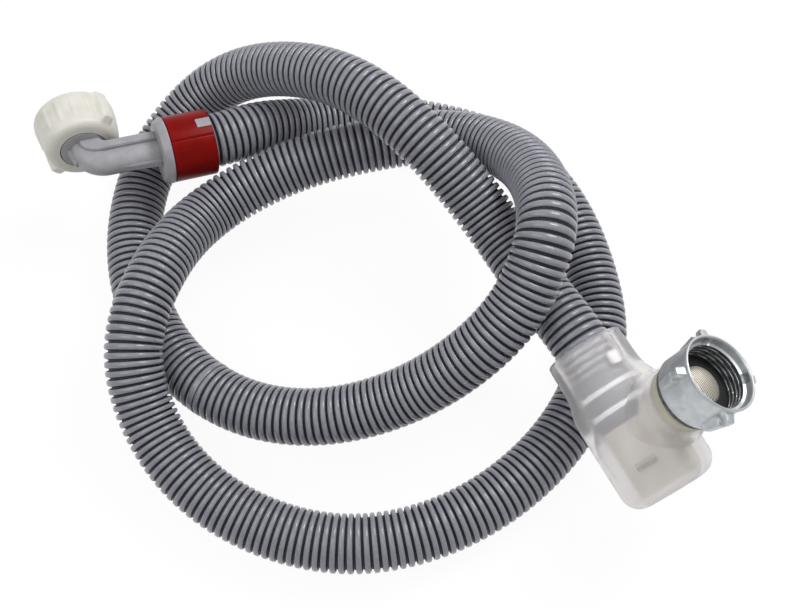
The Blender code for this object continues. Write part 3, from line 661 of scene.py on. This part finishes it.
# %% Build the two half shells
def half_shell(name, side):
    origin = Matrix.Identity(4)
    solid = helper_solid(name, mesh_of(name, outside_sections()), origin)
    for mesh, operation in shell_steps(side):
        apply_boolean(solid, helper_solid(mesh.name, mesh, origin), operation)
    made = solid.data
    bpy.data.objects.remove(solid)
    made.materials.clear()
    shade(made, 35)
    return made


for node_name, shell_side in (("housing_near_shell", 1), ("housing_far_shell", -1)):
    shell_mesh = half_shell(node_name + "_skin", shell_side)
    shell = add_piece(node_name + "_skin", shell_mesh, "hose_and_fittings", [frosted],
                      [node_name], tap_hose_frame)
    print(shell.name, triangles(shell), "triangles")

# %% [markdown]
# ## What shows through the housing
# A grey coupling takes the end of the jacket, and beyond it sits the valve body. Where the coupling's
# ribs touch the wall they look pale, so the ribs and the latch get a whiter plastic, which is painted
# light. These pieces are seen through frosted plastic, so their main shapes and colours are what counts.
# The coupling is turned here. The other inner pieces keep the imported model's shapes and get their finishes.

# %% Coupling with its ribs
COUPLING_FROM = TAP_GRIP + 0.3
COUPLING_END = 32.0
COUPLING_BORE_R = 8.3
COUPLING_R = 11.3
RIB_R = 11.85
RIB_FOOT_R = COUPLING_R + 0.02
RIBS_AT = (18.8, 26.5)
turned_piece("coupling_sleeve", tube_outline(COUPLING_BORE_R, COUPLING_R, COUPLING_FROM, COUPLING_END),
             0.25, coupling_plastic, "hose_coupling", tap_hose_frame)
# The ribs get the whiter plastic: painted light where they touch the wall.
for number, rib in enumerate(RIBS_AT):
    rib_outline = [(RIB_FOOT_R, rib - 1.1), (RIB_R, rib - 0.9), (RIB_R, rib + 0.9), (RIB_FOOT_R, rib + 1.1)]
    turned_piece("coupling_rib_%d" % (number + 1), rib_outline, 0.15, contact_light_plastic,
                 "hose_coupling", tap_hose_frame)
print("coupling with", len(RIBS_AT), "ribs")

# %% Latch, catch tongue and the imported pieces' finishes
tongue_mesh = wall_patch("catch_tongue", SLOT[0] + 0.5, SLOT[1], length=1.5, width=8.2, low=17.7,
                         high=18.7, corner=0.3)
latch_mesh = wall_patch("jacket_latch", LATCH[0], LATCH[1], length=LATCH[2] - 0.5, width=LATCH[3] - 0.5,
                        low=12.0, high=14.2)
# The tongue's darker plastic is painted shade in the slot, and the latch's whiter plastic is painted light.
for mesh, finish, slot, node_name in (
        (tongue_mesh, tongue_shade_plastic, "frosted_plastic", "housing_near_shell"),
        (latch_mesh, contact_light_plastic, "coupling_plastic", "hose_coupling")):
    shade(mesh, 40)
    add_piece(mesh.name, mesh, "hose_and_fittings", [finish], [node_name], tap_hose_frame)


def finish_node(name, finish):
    """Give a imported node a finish. Its mesh stays as it is."""
    for material_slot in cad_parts[name].material_slots:
        material_slot.material = finish


for name in ("valve_body", "inlet_spigot"):
    finish_node(name, valve_plastic)
for name in ("pressure_hose_inlet_end", "pressure_hose_outlet_end", "seat_seal"):
    finish_node(name, dark_rubber)
finish_node("swelling_pad", felt)
print("inner pieces finished")

# %% [markdown]
# ## The yellowish ring
# A turned ring of natural polyamide sits between the housing's neck and the nut. It has soaked up a
# little colour with age, and its edges are soft, so it looks like old ivory.

# %% Spigot ring
SPIGOT_R = 10.4
SPIGOT_RING_R = 12.25
ring_low = NECK_TOP + 0.3
ring_outline = [(SPIGOT_R, ring_low), (SPIGOT_RING_R, ring_low), (SPIGOT_RING_R, ring_low + 2.9),
                (SPIGOT_RING_R - 0.8, ring_low + 3.7), (SPIGOT_R, ring_low + 3.7)]
turned_piece("spigot_ring_turned", ring_outline, 0.4, amber_plastic, "spigot_ring",
             tap_port_frame)
print("spigot ring on the port")

# %% [markdown]
# ## The die-cast nut
# The union nut is zinc, cast in a steel mould and left as it comes out: grey, with a dull shine that
# varies where the metal ran, and edges that catch the light. A real thread runs inside it. We draw the
# nut as a turned outline whose radius also depends on the angle: lugs swell out of the barrel, and the
# bore's radius follows the angle once per turn, which makes the groove a helix instead of rings.

# %% Zinc
def zinc_material():
    """Die-cast zinc: a metal with a soft, cloudy shine and fine pits."""
    made, tree, shader = new_material("union_nut_cast_zinc")
    mottle(tree, shader, 4.0, "#b8bcbe", "#d2d6d8", detail=4.0, low=0.3, high=0.7, rough=(0.38, 0.52))
    set_shader(shader, Metallic=0.85)
    grain(tree, shader, 1.1, depth_mm=0.12, strength=0.3, detail=3.0)
    return made


def shaded_zinc_material():
    """The same zinc, darker and duller, in the thread's grooves and on the chamfer behind the nut: painted
    shade.
    """
    made, tree, shader = new_material("union_nut_painted_shade_zinc")
    mottle(tree, shader, 1.6, "#484a4c", "#6e7173", detail=3.0)
    set_shader(shader, Metallic=0.6, Roughness=0.5)
    return made


zinc = zinc_material()
shaded_zinc = shaded_zinc_material()
print("materials:", zinc.name, "and", shaded_zinc.name)

# %% Rings of a nut with a thread in it
THREAD_CREST_R = 12.05
THREAD_PITCH = 1.814
THREAD_DEPTH = 1.0
THREAD_STEP = 0.16       # height of one ring of points in the bore
NUT_AROUND = 240


def step_up(value, low, high):
    t = np.clip((value - low) / (high - low), 0, 1)
    return t * t * (3 - 2 * t)


def helix_groove(z, angle):
    """How deep a right-hand thread's groove is at a height and an angle, from 0 to 1."""
    turn = (z / THREAD_PITCH - angle / (2 * math.pi)) % 1.0
    return np.clip(1.6 - np.abs(turn - 0.5) * 4.0, 0, 1)


def ring_at(radius, a, z):
    """Points at a height, at one radius or at one for each angle."""
    return np.stack([radius * np.cos(a), radius * np.sin(a), z + 0 * a], axis=-1)


def nut_rings(outer, inner, swell, thread_low, thread_high):
    """Rings that run up the outside, over the front and down the threaded bore."""
    a = np.linspace(0, 2 * math.pi, NUT_AROUND, endpoint=False)
    rings = [ring_at(r + swell(z, a), a, z) for r, z in outer]
    for z in np.arange(thread_high, thread_low, -THREAD_STEP):
        fade = step_up(z, thread_low, thread_low + 1.2) * (1 - step_up(z, thread_high - 1.0, thread_high))
        rings.append(ring_at(THREAD_CREST_R + 0.08 + THREAD_DEPTH * fade * helix_groove(z, a), a, z))
    return rings + [ring_at(r, a, z) for r, z in inner]


# %% Lugs of the union nut
UNION_BACK_AT = 30.0
UNION_LENGTH = 18.3
UNION_R = 14.05
UNION_BEAD_R = 14.55
LUG_ANGLE = -25.0
BAR_RISE = 1.7           # how far a bar stands out near the back
BAR_GROWTH = 0.19        # and how much more with every millimetre
KNOB_RISE = 3.75


def union_swell(z, a):
    """Four lugs: a bar that grows towards the front, and a knob at its end."""
    phase = (a - math.radians(LUG_ANGLE) + math.pi / 4) % (math.pi / 2) - math.pi / 4
    off = np.abs(phase) * (UNION_R + 2.0)
    bar = (BAR_RISE + BAR_GROWTH * (z - 4.0)) * step_up(z, 3.4, 4.6) * (1 - step_up(z, 11.6, 12.8))
    knob = KNOB_RISE * step_up(z, 11.8, 13.2) * (1 - step_up(z, 15.9, 17.0))
    taper = step_up(z, 12.0, 15.0)
    knob_shape = 1 - step_up(off, 0.5 + 0.6 * taper, 1.5 + 0.96 * taper)
    return bar * (1 - step_up(off, 1.5, 2.4)) + knob * knob_shape


for height in (6.0, 11.0, 15.0):
    print("lug at %.0f mm: %.2f mm" % (height, union_swell(height, np.radians([LUG_ANGLE]))[0]))


# %% Union nut mesh
def paint_thread_shade(mesh, low, high, bore):
    """Give the faces in the thread's grooves, between two heights, the second finish, a painted shade."""
    for face in mesh.polygons:
        x, y, z = face.center / MM
        if low < z < high and THREAD_CREST_R + 0.2 < math.hypot(x, y) < bore:
            face.material_index = 1


union_outer = [(10.4, 0.0), (12.9, 0.0), (13.2, 0.15), (13.4, 0.8), (13.65, 1.5), (13.9, 2.2), (UNION_R, 2.5)]
# The rings of the rear chamfer get the second finish, a painted shade.
rear_rings = len(union_outer) - 2    # the first rings are the dull chamfer at the back
union_outer += [(UNION_R, z) for z in np.arange(2.8, 16.9, 0.3)]
union_outer += [(14.2, 17.0), (14.42, 17.2), (UNION_BEAD_R, 17.5), (UNION_BEAD_R, 17.8), (14.45, 18.1),
                (14.2, 18.28), (13.9, UNION_LENGTH), (13.7, 18.2), (13.5, 17.4), (13.3, 16.4), (13.1, 15.3)]
union_inner = [(12.95, 3.6), (12.95, 2.6), (10.4, 2.6)]
union_mesh = mesh_of("union_nut_cast", nut_rings(union_outer, union_inner, union_swell, thread_low=3.8,
                                                 thread_high=14.9), loop=True, paint_index=[1] * rear_rings)
paint_thread_shade(union_mesh, low=4.0, high=14.6, bore=13.4)
shade(union_mesh, 50)
union_place = tap_port_frame @ Matrix.Translation((0, 0, UNION_BACK_AT * MM))
union_nut = add_piece("union_nut_cast", union_mesh, "union_nut", [zinc, shaded_zinc],
                      ["union_nut"], union_place)
print("union nut:", triangles(union_nut), "triangles")

# %% [markdown]
# ## Washer and strainer
# Inside the nut a black rubber washer carries a small dome of woven steel wire, which keeps grit out of
# the valve. The wires are 0.2 mm thick, too fine for this picture, so the weave is drawn at about
# twice its real spacing, as a bump and a change of colour, on a dome with a rolled rim. The weave is
# straight in the washer's own directions, so a Mapping node turns the space that it is drawn in.

# %% Washer
FLANGE_TOP = 34.9
WASHER_FROM = FLANGE_TOP + 0.3
WASHER_BORE_R = 7.5
WASHER_R = 11.7
turned_piece("washer_moulded", tube_outline(WASHER_BORE_R, WASHER_R, WASHER_FROM, FLANGE_TOP + 2.8), 0.35,
             dark_rubber, "sealing_washer", tap_port_frame)
print("washer %.1f mm thick" % (FLANGE_TOP + 2.8 - WASHER_FROM))


# %% Woven steel
def woven_steel_material():
    """Stainless wire cloth: bright wires in one direction, with dark gaps between them."""
    made, tree, shader = new_material("strainer_woven_steel")
    space = add_node(tree, "ShaderNodeTexCoord")
    turned = tap_port_frame.to_3x3().inverted().to_euler()
    straight = add_node(tree, "ShaderNodeMapping", {"vector_type": "POINT"},
                        Vector=space.outputs["Object"], Rotation=turned)
    waves = []
    # A wave repeats every 2 pi / 20 over its scale, so this gives a wire each 0.8 and 0.5 mm.
    for direction, spacing in (("Y", 0.8), ("X", 0.5)):
        wave = add_node(tree, "ShaderNodeTexWave", {"bands_direction": direction},
                        Vector=straight.outputs["Vector"], Scale=2 * math.pi / (20 * spacing * MM),
                        Distortion=0.0)
        waves.append(wave.outputs["Fac"])
    weave = add_node(tree, "ShaderNodeMath", {"operation": "MULTIPLY_ADD"}, i0=waves[1], i1=0.06,
                     i2=waves[0])
    color = add_node(tree, "ShaderNodeValToRGB", stops=[(0.15, "#5c564c"), (0.85, "#ece6da")],
                     Fac=weave.outputs["Value"])
    tree.links.new(color.outputs["Color"], shader.inputs["Base Color"])
    set_shader(shader, Metallic=0.55, Roughness=0.45)
    raised = add_node(tree, "ShaderNodeBump", Height=weave.outputs["Value"], Distance=0.2 * MM, Strength=0.5)
    tree.links.new(raised.outputs["Normal"], shader.inputs["Normal"])
    return made


woven_steel = woven_steel_material()
print("material:", woven_steel.name)

# %% Strainer dome
RIM_R = 7.4
CLOTH = 0.6              # how thick the folded cloth is drawn
RIM_TOP = FLANGE_TOP + 3.0
dome_outline = [(RIM_R, WASHER_FROM), (RIM_R, RIM_TOP)]
dome_outline += [(RIM_R * math.cos(t), RIM_TOP + 2.2 * math.sin(t)) for t in np.linspace(0.05, 1.569, 18)]
dome_outline += [((RIM_R - CLOTH) * math.cos(t), RIM_TOP + 1.6 * math.sin(t))
                 for t in np.linspace(1.569, 0, 12)]
dome_outline += [(RIM_R - CLOTH, WASHER_FROM)]
dome = mesh_of("strainer_dome", turn_rings(dome_outline, 72), loop=True)
add_piece("strainer_dome", dome, "hose_and_fittings", [woven_steel], ["inlet_strainer"],
          tap_port_frame)
print("strainer on its washer")

# %% [markdown]
# ## The red locking ring
# A red ring of acetal with a satin skin clips the jacket on to the elbow. It has a parting line where
# it opens, and a notch in its mouth where the grey key of the sleeve under it shows. The notch is cut
# by a Boolean, and the parting line is a small step in the ring's own radius.

# %% Red and grey plastics
red_plastic = moulded_material("locking_ring_acetal", "#750301", "#800502", 0.4, 5.0)
set_shader(red_plastic.node_tree.nodes["Principled BSDF"], Specular_IOR_Level=0.14)
# The elbow and its sleeve: grey polypropylene with the dull, even skin of a plain mould.
grey_plastic = moulded_material("elbow_polypropylene", "#96969a", "#a0a0a4", 0.45, 4.0)
print("materials:", red_plastic.name, "and", grey_plastic.name)

# %% Locking ring with its notch
RING_R = 13.7
RING_BORE_R = 12.0
RING_LENGTH = 18.0
NOTCH_AT = -94.0        # nearly straight up, in the ring's own angles
NOTCH_LENGTH = 6.2
NOTCH_HALF = 2.3
PARTING_AT = -120.0
PARTING_DEPTH = 0.35


def ring_rings(around=180):
    """The ring, with the parting line as a small groove in its outside."""
    a = np.linspace(0, 2 * math.pi, around, endpoint=False)
    outline = rounded(tube_outline(RING_BORE_R, RING_R, 0.0, RING_LENGTH), 0.5)
    parting = np.abs((a - math.radians(PARTING_AT) + math.pi) % (2 * math.pi) - math.pi) * RING_R
    groove = PARTING_DEPTH * (1 - step_up(parting, 0.1, 0.45))
    return [ring_at(r - groove * (r > 13.0), a, z) for r, z in outline]


ring_solid = helper_solid("locking_ring_helper", mesh_of("locking_ring_moulded", ring_rings(), loop=True),
                          Matrix.Identity(4))
turn = Matrix.Rotation(math.radians(NOTCH_AT + 90.0), 4, "Z")
notch = block_mesh("notch", (-NOTCH_HALF, -RING_R - 2.0, -1.0), (NOTCH_HALF, -10.5, NOTCH_LENGTH))
apply_boolean(ring_solid, helper_solid("notch", notch, turn), "DIFFERENCE")
ring_mesh = ring_solid.data
bpy.data.objects.remove(ring_solid)
ring_mesh.materials.clear()
shade(ring_mesh, 40)
locking_ring = add_piece("locking_ring_moulded", ring_mesh, "hose_and_fittings", [red_plastic],
                         ["locking_ring"], ring_frame)
print("locking ring:", triangles(locking_ring), "triangles")

# %% Key and sleeve under the ring
SLEEVE_BORE_R = 10.1
SLEEVE_FROM = RING_GRIP + 0.3
key_mesh = wall_patch("sleeve_key", 3.0, NOTCH_AT, length=6.0, width=4.4, low=11.8, high=RING_R - 0.1,
                      corner=0.3)
shade(key_mesh, 40)
add_piece("sleeve_key", key_mesh, "hose_and_fittings", [grey_plastic], ["jacket_sleeve"],
          ring_frame)
turned_piece("jacket_sleeve_turned", tube_outline(SLEEVE_BORE_R, JACKET_OD / 2, SLEEVE_FROM, RING_LENGTH),
             0.2, grey_plastic, "jacket_sleeve", ring_frame)
print("key and sleeve in the ring")

# %% [markdown]
# ## The elbow
# The elbow is one moulding: a chamfered cap against the red ring, a bent tube, and a seat that the
# white nut turns on. The inside of its bend is filled by a flat web, nearly as thick as the tube, with a
# sharp edge that leaves a dark line along the tube. On the outside two thin gussets run from the cap and
# from the seat into the tube. The tube is swept along the bend, and the flat parts are thick outlines.

# %% Sweep along the elbow's bend
ELBOW_R = 5.6
REACH = 6.8              # from the elbow's axis to the inner edge of its web
BEND_R = 7.5
CAP_AT = RING_LENGTH + 0.3
CAP_END = CAP_AT + 3.6
NUT_LEG_END = 12.0


def elbow_line(start, end, steps=24):
    """Points of the elbow's axis, each with the angle that the line has turned by."""
    stations = [(0.0, s, 0.0) for s in np.linspace(start, CORNER_S - BEND_R, 14)[:-1]]
    for t in np.linspace(0, math.pi / 2, steps):
        stations.append((BEND_R - BEND_R * math.cos(t), CORNER_S - BEND_R + BEND_R * math.sin(t), t))
    stations += [(x, CORNER_S, math.pi / 2) for x in np.linspace(BEND_R, end, 4)[1:]]
    return stations


def sweep(outline, start, end):
    rings = []
    for x, s, t in elbow_line(start, end):
        rings.append([(x - u * math.cos(t), v, s + u * math.sin(t)) for u, v in outline])
    return rings


# %% Flat parts of the elbow
def flat_part(name, outline, half):
    """A plate in the plane of the bend, from its outline of (towards the nut, along the ring)."""
    made = bpy.data.meshes.new(name)
    count = len(outline)
    points = [(x * MM, y * MM, s * MM) for y in (-half, half) for x, s in outline]
    sides = [(i, (i + 1) % count, (i + 1) % count + count, i + count) for i in range(count)]
    made.from_pydata(points, [], [list(range(count))[::-1], list(range(count, 2 * count))] + sides)
    shaped = bmesh.new()
    shaped.from_mesh(made)
    bmesh.ops.recalc_face_normals(shaped, faces=shaped.faces)
    bmesh.ops.bevel(shaped, geom=list(shaped.edges), offset=0.35 * MM, segments=2, affect="EDGES",
                    clamp_overlap=True)
    shaped.to_mesh(made)
    shaped.free()
    shade(made, 40)
    return add_piece(name, made, "hose_and_fittings", [grey_plastic], ["elbow"], ring_frame)


def web_outline(round_r=6.0):
    """Flat web inside the bend: 4 mm wide along the ring's leg, 8.5 mm along the nut's leg."""
    inner_s, edge_x, edge_s = CORNER_S - REACH, REACH - 4.2, CORNER_S + 1.7
    inner = [(REACH, CAP_END), (REACH, inner_s - 2.0), (REACH + 0.6, inner_s - 0.6), (REACH + 2.0, inner_s),
             (NUT_LEG_END, inner_s)]
    bend = [(edge_x + round_r - round_r * math.cos(t), edge_s - round_r + round_r * math.sin(t))
            for t in np.linspace(math.pi / 2, 0, 10)]
    return inner + [(NUT_LEG_END, edge_s)] + bend + [(edge_x, CAP_END)]


CAP_GUSSET = [(-4.0, CAP_END), (-REACH - 0.2, CAP_END), (-REACH + 0.3, CAP_END + 5.0),
              (-5.3, CAP_END + 18.0), (-4.0, CAP_END + 18.0)]
SEAT_GUSSET = [(NUT_LEG_END, CORNER_S + 4.0), (NUT_LEG_END, CORNER_S + REACH + 0.4),
               (8.0, CORNER_S + REACH - 0.2), (1.5, CORNER_S + 5.0), (1.5, CORNER_S + 4.0)]

# %% Build the elbow
tube_outline_points = [(ELBOW_R * math.cos(t), 0.9 * ELBOW_R * math.sin(t))
                       for t in np.linspace(0, 2 * math.pi, 64, endpoint=False)]
tube_mesh = mesh_of("elbow_tube", sweep(tube_outline_points, CAP_END - 1.0, NUT_LEG_END))
tube = add_piece("elbow_tube", tube_mesh, "hose_and_fittings", [grey_plastic], ["elbow"],
                 ring_frame)
flat_part("elbow_web", web_outline(), 5.9)
flat_part("elbow_cap_gusset", CAP_GUSSET, 1.6)
flat_part("elbow_seat_gusset", SEAT_GUSSET, 1.4)
cap_outline = [(4.0, CAP_AT), (13.9, CAP_AT), (13.9, CAP_AT + 0.9), (12.4, CAP_END), (4.0, CAP_END)]
cap = turned_piece("elbow_cap", cap_outline, 0.35, grey_plastic, "elbow", ring_frame)
seat_outline = [(4.0, 9.0), (9.2, 9.0), (9.2, 12.2), (11.7, 12.2), (11.7, 14.2), (4.0, 14.2)]
seat = turned_piece("elbow_seat", seat_outline, 0.25, grey_plastic, "elbow", nut_frame)
print("elbow:", triangles(tube) + triangles(cap) + triangles(seat), "triangles")

# %% [markdown]
# ## The white nut
# The nut for the appliance is moulded in white polypropylene, slightly warm, and light goes a little
# way into it, so its shaded side stays pale. It widens to the front, with two wings to grip.

# %% White plastic
def white_material():
    """White polypropylene: a little light goes in and comes out again, which softens its shading."""
    made, tree, shader = new_material("appliance_nut_polypropylene")
    mottle(tree, shader, 6.0, "#d6d4ca", "#dddbd3")
    set_shader(shader, Roughness=0.42, IOR=PLASTIC_IOR, Subsurface_Weight=0.35, Subsurface_Scale=1.0,
               Subsurface_Radius=(0.0030, 0.0028, 0.0022))
    grain(tree, shader, 1.0, depth_mm=0.04, strength=0.4)
    return made


white_plastic = white_material()
print("material:", white_plastic.name)

# %% White nut mesh
WHITE_BACK_R = 15.2
WHITE_FRONT_R = 16.5
WHITE_MIDDLE_R = 15.5
WHITE_FLARE_AT = 2.4     # where the nut starts to widen, and over how many millimetres it does
WHITE_FLARE = 13.6
WHITE_BACK_AT = 9.2
WING_ANGLE = -47.0
WING_RISE = 2.9
RIB_RISE = 0.3


def white_swell(z, a):
    """Two wings along the nut, and low ribs between them."""
    phase = (a - math.radians(WING_ANGLE) + math.pi / 2) % math.pi - math.pi / 2
    off = np.abs(phase) * WHITE_MIDDLE_R
    wing = WING_RISE * step_up(z, 1.6, 2.8) * (1 - 0.5 * step_up(z, 9.0, 16.6))
    rib_phase = (a - math.radians(WING_ANGLE) + math.pi / 16) % (math.pi / 8) - math.pi / 16
    rib_off = np.abs(rib_phase) * WHITE_MIDDLE_R
    rib = RIB_RISE * step_up(z, 3.5, 6.0) * (1 - step_up(z, 14.0, 16.0)) * (1 - step_up(rib_off, 0.5, 1.3))
    return wing * (1 - step_up(off, 1.7, 2.9)) + rib


white_outer = [(9.6, 0.0), (12.0, 0.0), (13.0, 0.15), (13.9, 0.55), (14.6, 1.15), (15.05, 1.9)]
white_outer += [(WHITE_BACK_R + (WHITE_FRONT_R - WHITE_BACK_R) * (z - WHITE_FLARE_AT) / WHITE_FLARE, z)
                for z in np.arange(WHITE_FLARE_AT, 16.0, 0.4)]
white_outer += [(WHITE_FRONT_R, 16.3), (16.4, 16.8), (16.1, 17.2), (15.6, 17.4), (13.6, 17.4), (13.3, 17.25)]
white_inner = [(12.95, 5.0), (12.95, 2.6), (9.6, 2.6)]
white_mesh = mesh_of("appliance_nut_moulded", nut_rings(white_outer, white_inner, white_swell, thread_low=5.2,
                                                        thread_high=16.9), loop=True)
shade(white_mesh, 50)
white_place = nut_frame @ Matrix.Translation((0, 0, WHITE_BACK_AT * MM))
white_nut = add_piece("appliance_nut_moulded", white_mesh, "appliance_nut", [white_plastic],
                      ["appliance_nut"], white_place)
print("white nut:", triangles(white_nut), "triangles")

# %% Flat washer and the last finishes
FLAT_WASHER_BORE_R = 6.5
turned_piece("flat_washer_moulded", tube_outline(FLAT_WASHER_BORE_R, WASHER_R, 14.5, 17.0), 0.35,
             dark_rubber, "flat_washer", nut_frame)
for name in ("valve_plunger", "valve_end_cap"):
    finish_node(name, white_plastic)
for name in ("inlet_crimp_ferrule", "outlet_crimp_ferrule"):
    finish_node(name, zinc)
print("all packed pieces finished")

# %% [markdown]
# ## Floor and light
# The photograph is a product shot on white, with very soft light from the upper right and almost no
# shadow. The floor is white for the camera, and for reflections, and still takes a shadow. A large lamp
# gives the light its side, and the white world fills in the rest.

# %% White floor that takes a shadow
def floor_material():
    """White paper: bright to the camera by itself, with a small part of its brightness from the lamps."""
    made, tree, shader = new_material("floor_white_paper")
    rays = add_node(tree, "ShaderNodeLightPath")
    seen = rays.outputs["Is Camera Ray"]
    for other in ("Is Glossy Ray", "Is Transmission Ray"):
        either = add_node(tree, "ShaderNodeMath", {"operation": "MAXIMUM"}, i0=seen, i1=rays.outputs[other])
        seen = either.outputs["Value"]
    own_light = add_node(tree, "ShaderNodeMath", {"operation": "MULTIPLY"}, i0=seen, i1=0.94)
    tree.links.new(own_light.outputs["Value"], shader.inputs["Emission Strength"])
    paper = add_node(tree, "ShaderNodeValToRGB", stops=[(0.0, "#c9c9c9"), (1.0, "#484848")], Fac=seen)
    tree.links.new(paper.outputs["Color"], shader.inputs["Base Color"])
    set_shader(shader, Roughness=0.9, Emission_Color=(1.0, 1.0, 1.0, 1.0), Specular_IOR_Level=0.0)
    return made


FLOOR_HALF = 3000.0
floor_mesh = block_mesh("floor", (-FLOOR_HALF, -FLOOR_HALF, -4.0), (FLOOR_HALF, FLOOR_HALF, 0.0))
floor_mesh.polygons.foreach_set("use_smooth", [False] * len(floor_mesh.polygons))
floor_mesh.materials.append(floor_material())
floor = bpy.data.objects.new("floor", floor_mesh)
bpy.context.scene.collection.objects.link(floor)
print("floor %.0f m across" % (2 * FLOOR_HALF * MM))

# %% White world
WORLD_ON_OBJECT = 0.46      # how strongly the world lights the object
WORLD_SEEN = 1.0            # and how bright the camera sees it, also through the frosted plastic
world = bpy.data.worlds.new("studio")
bpy.context.scene.world = world
world.use_nodes = True
world_tree = world.node_tree
rays = add_node(world_tree, "ShaderNodeLightPath")
seen = add_node(world_tree, "ShaderNodeMath", {"operation": "MAXIMUM"}, i0=rays.outputs["Is Camera Ray"],
                i1=rays.outputs["Is Transmission Ray"])
level = add_node(world_tree, "ShaderNodeMapRange", Value=seen.outputs["Value"], To_Min=WORLD_ON_OBJECT,
                 To_Max=WORLD_SEEN)
background = world_tree.nodes["Background"]
world_tree.links.new(level.outputs["Result"], background.inputs["Strength"])
background.inputs["Color"].default_value = (1.0, 1.0, 1.0, 1.0)
print("world:", world.name)


# %% Lamps
def add_lamp(name, size_mm, power, position, aim=(0.0, 0.0, 0.0)):
    """A round lamp that looks at a point. Positions are in millimetres, and power is in watts."""
    data = bpy.data.lights.new(name, "AREA")
    data.shape = "DISK"
    data.size = size_mm * MM
    data.energy = power
    lamp = bpy.data.objects.new(name, data)
    bpy.context.scene.collection.objects.link(lamp)
    lamp.location = Vector(position) * MM
    lamp.rotation_euler = (Vector(aim) - Vector(position)).to_track_quat("-Z", "Y").to_euler()
    return lamp


for lamp in (add_lamp("key_lamp", 480.0, 5.6, (450.0, 420.0, 750.0)),
             add_lamp("fill_lamp", 700.0, 2.6, (-500.0, -200.0, 800.0))):
    print(lamp.name, "%.1f W" % lamp.data.energy)

bpy.context.scene.view_settings.view_transform = "Standard"
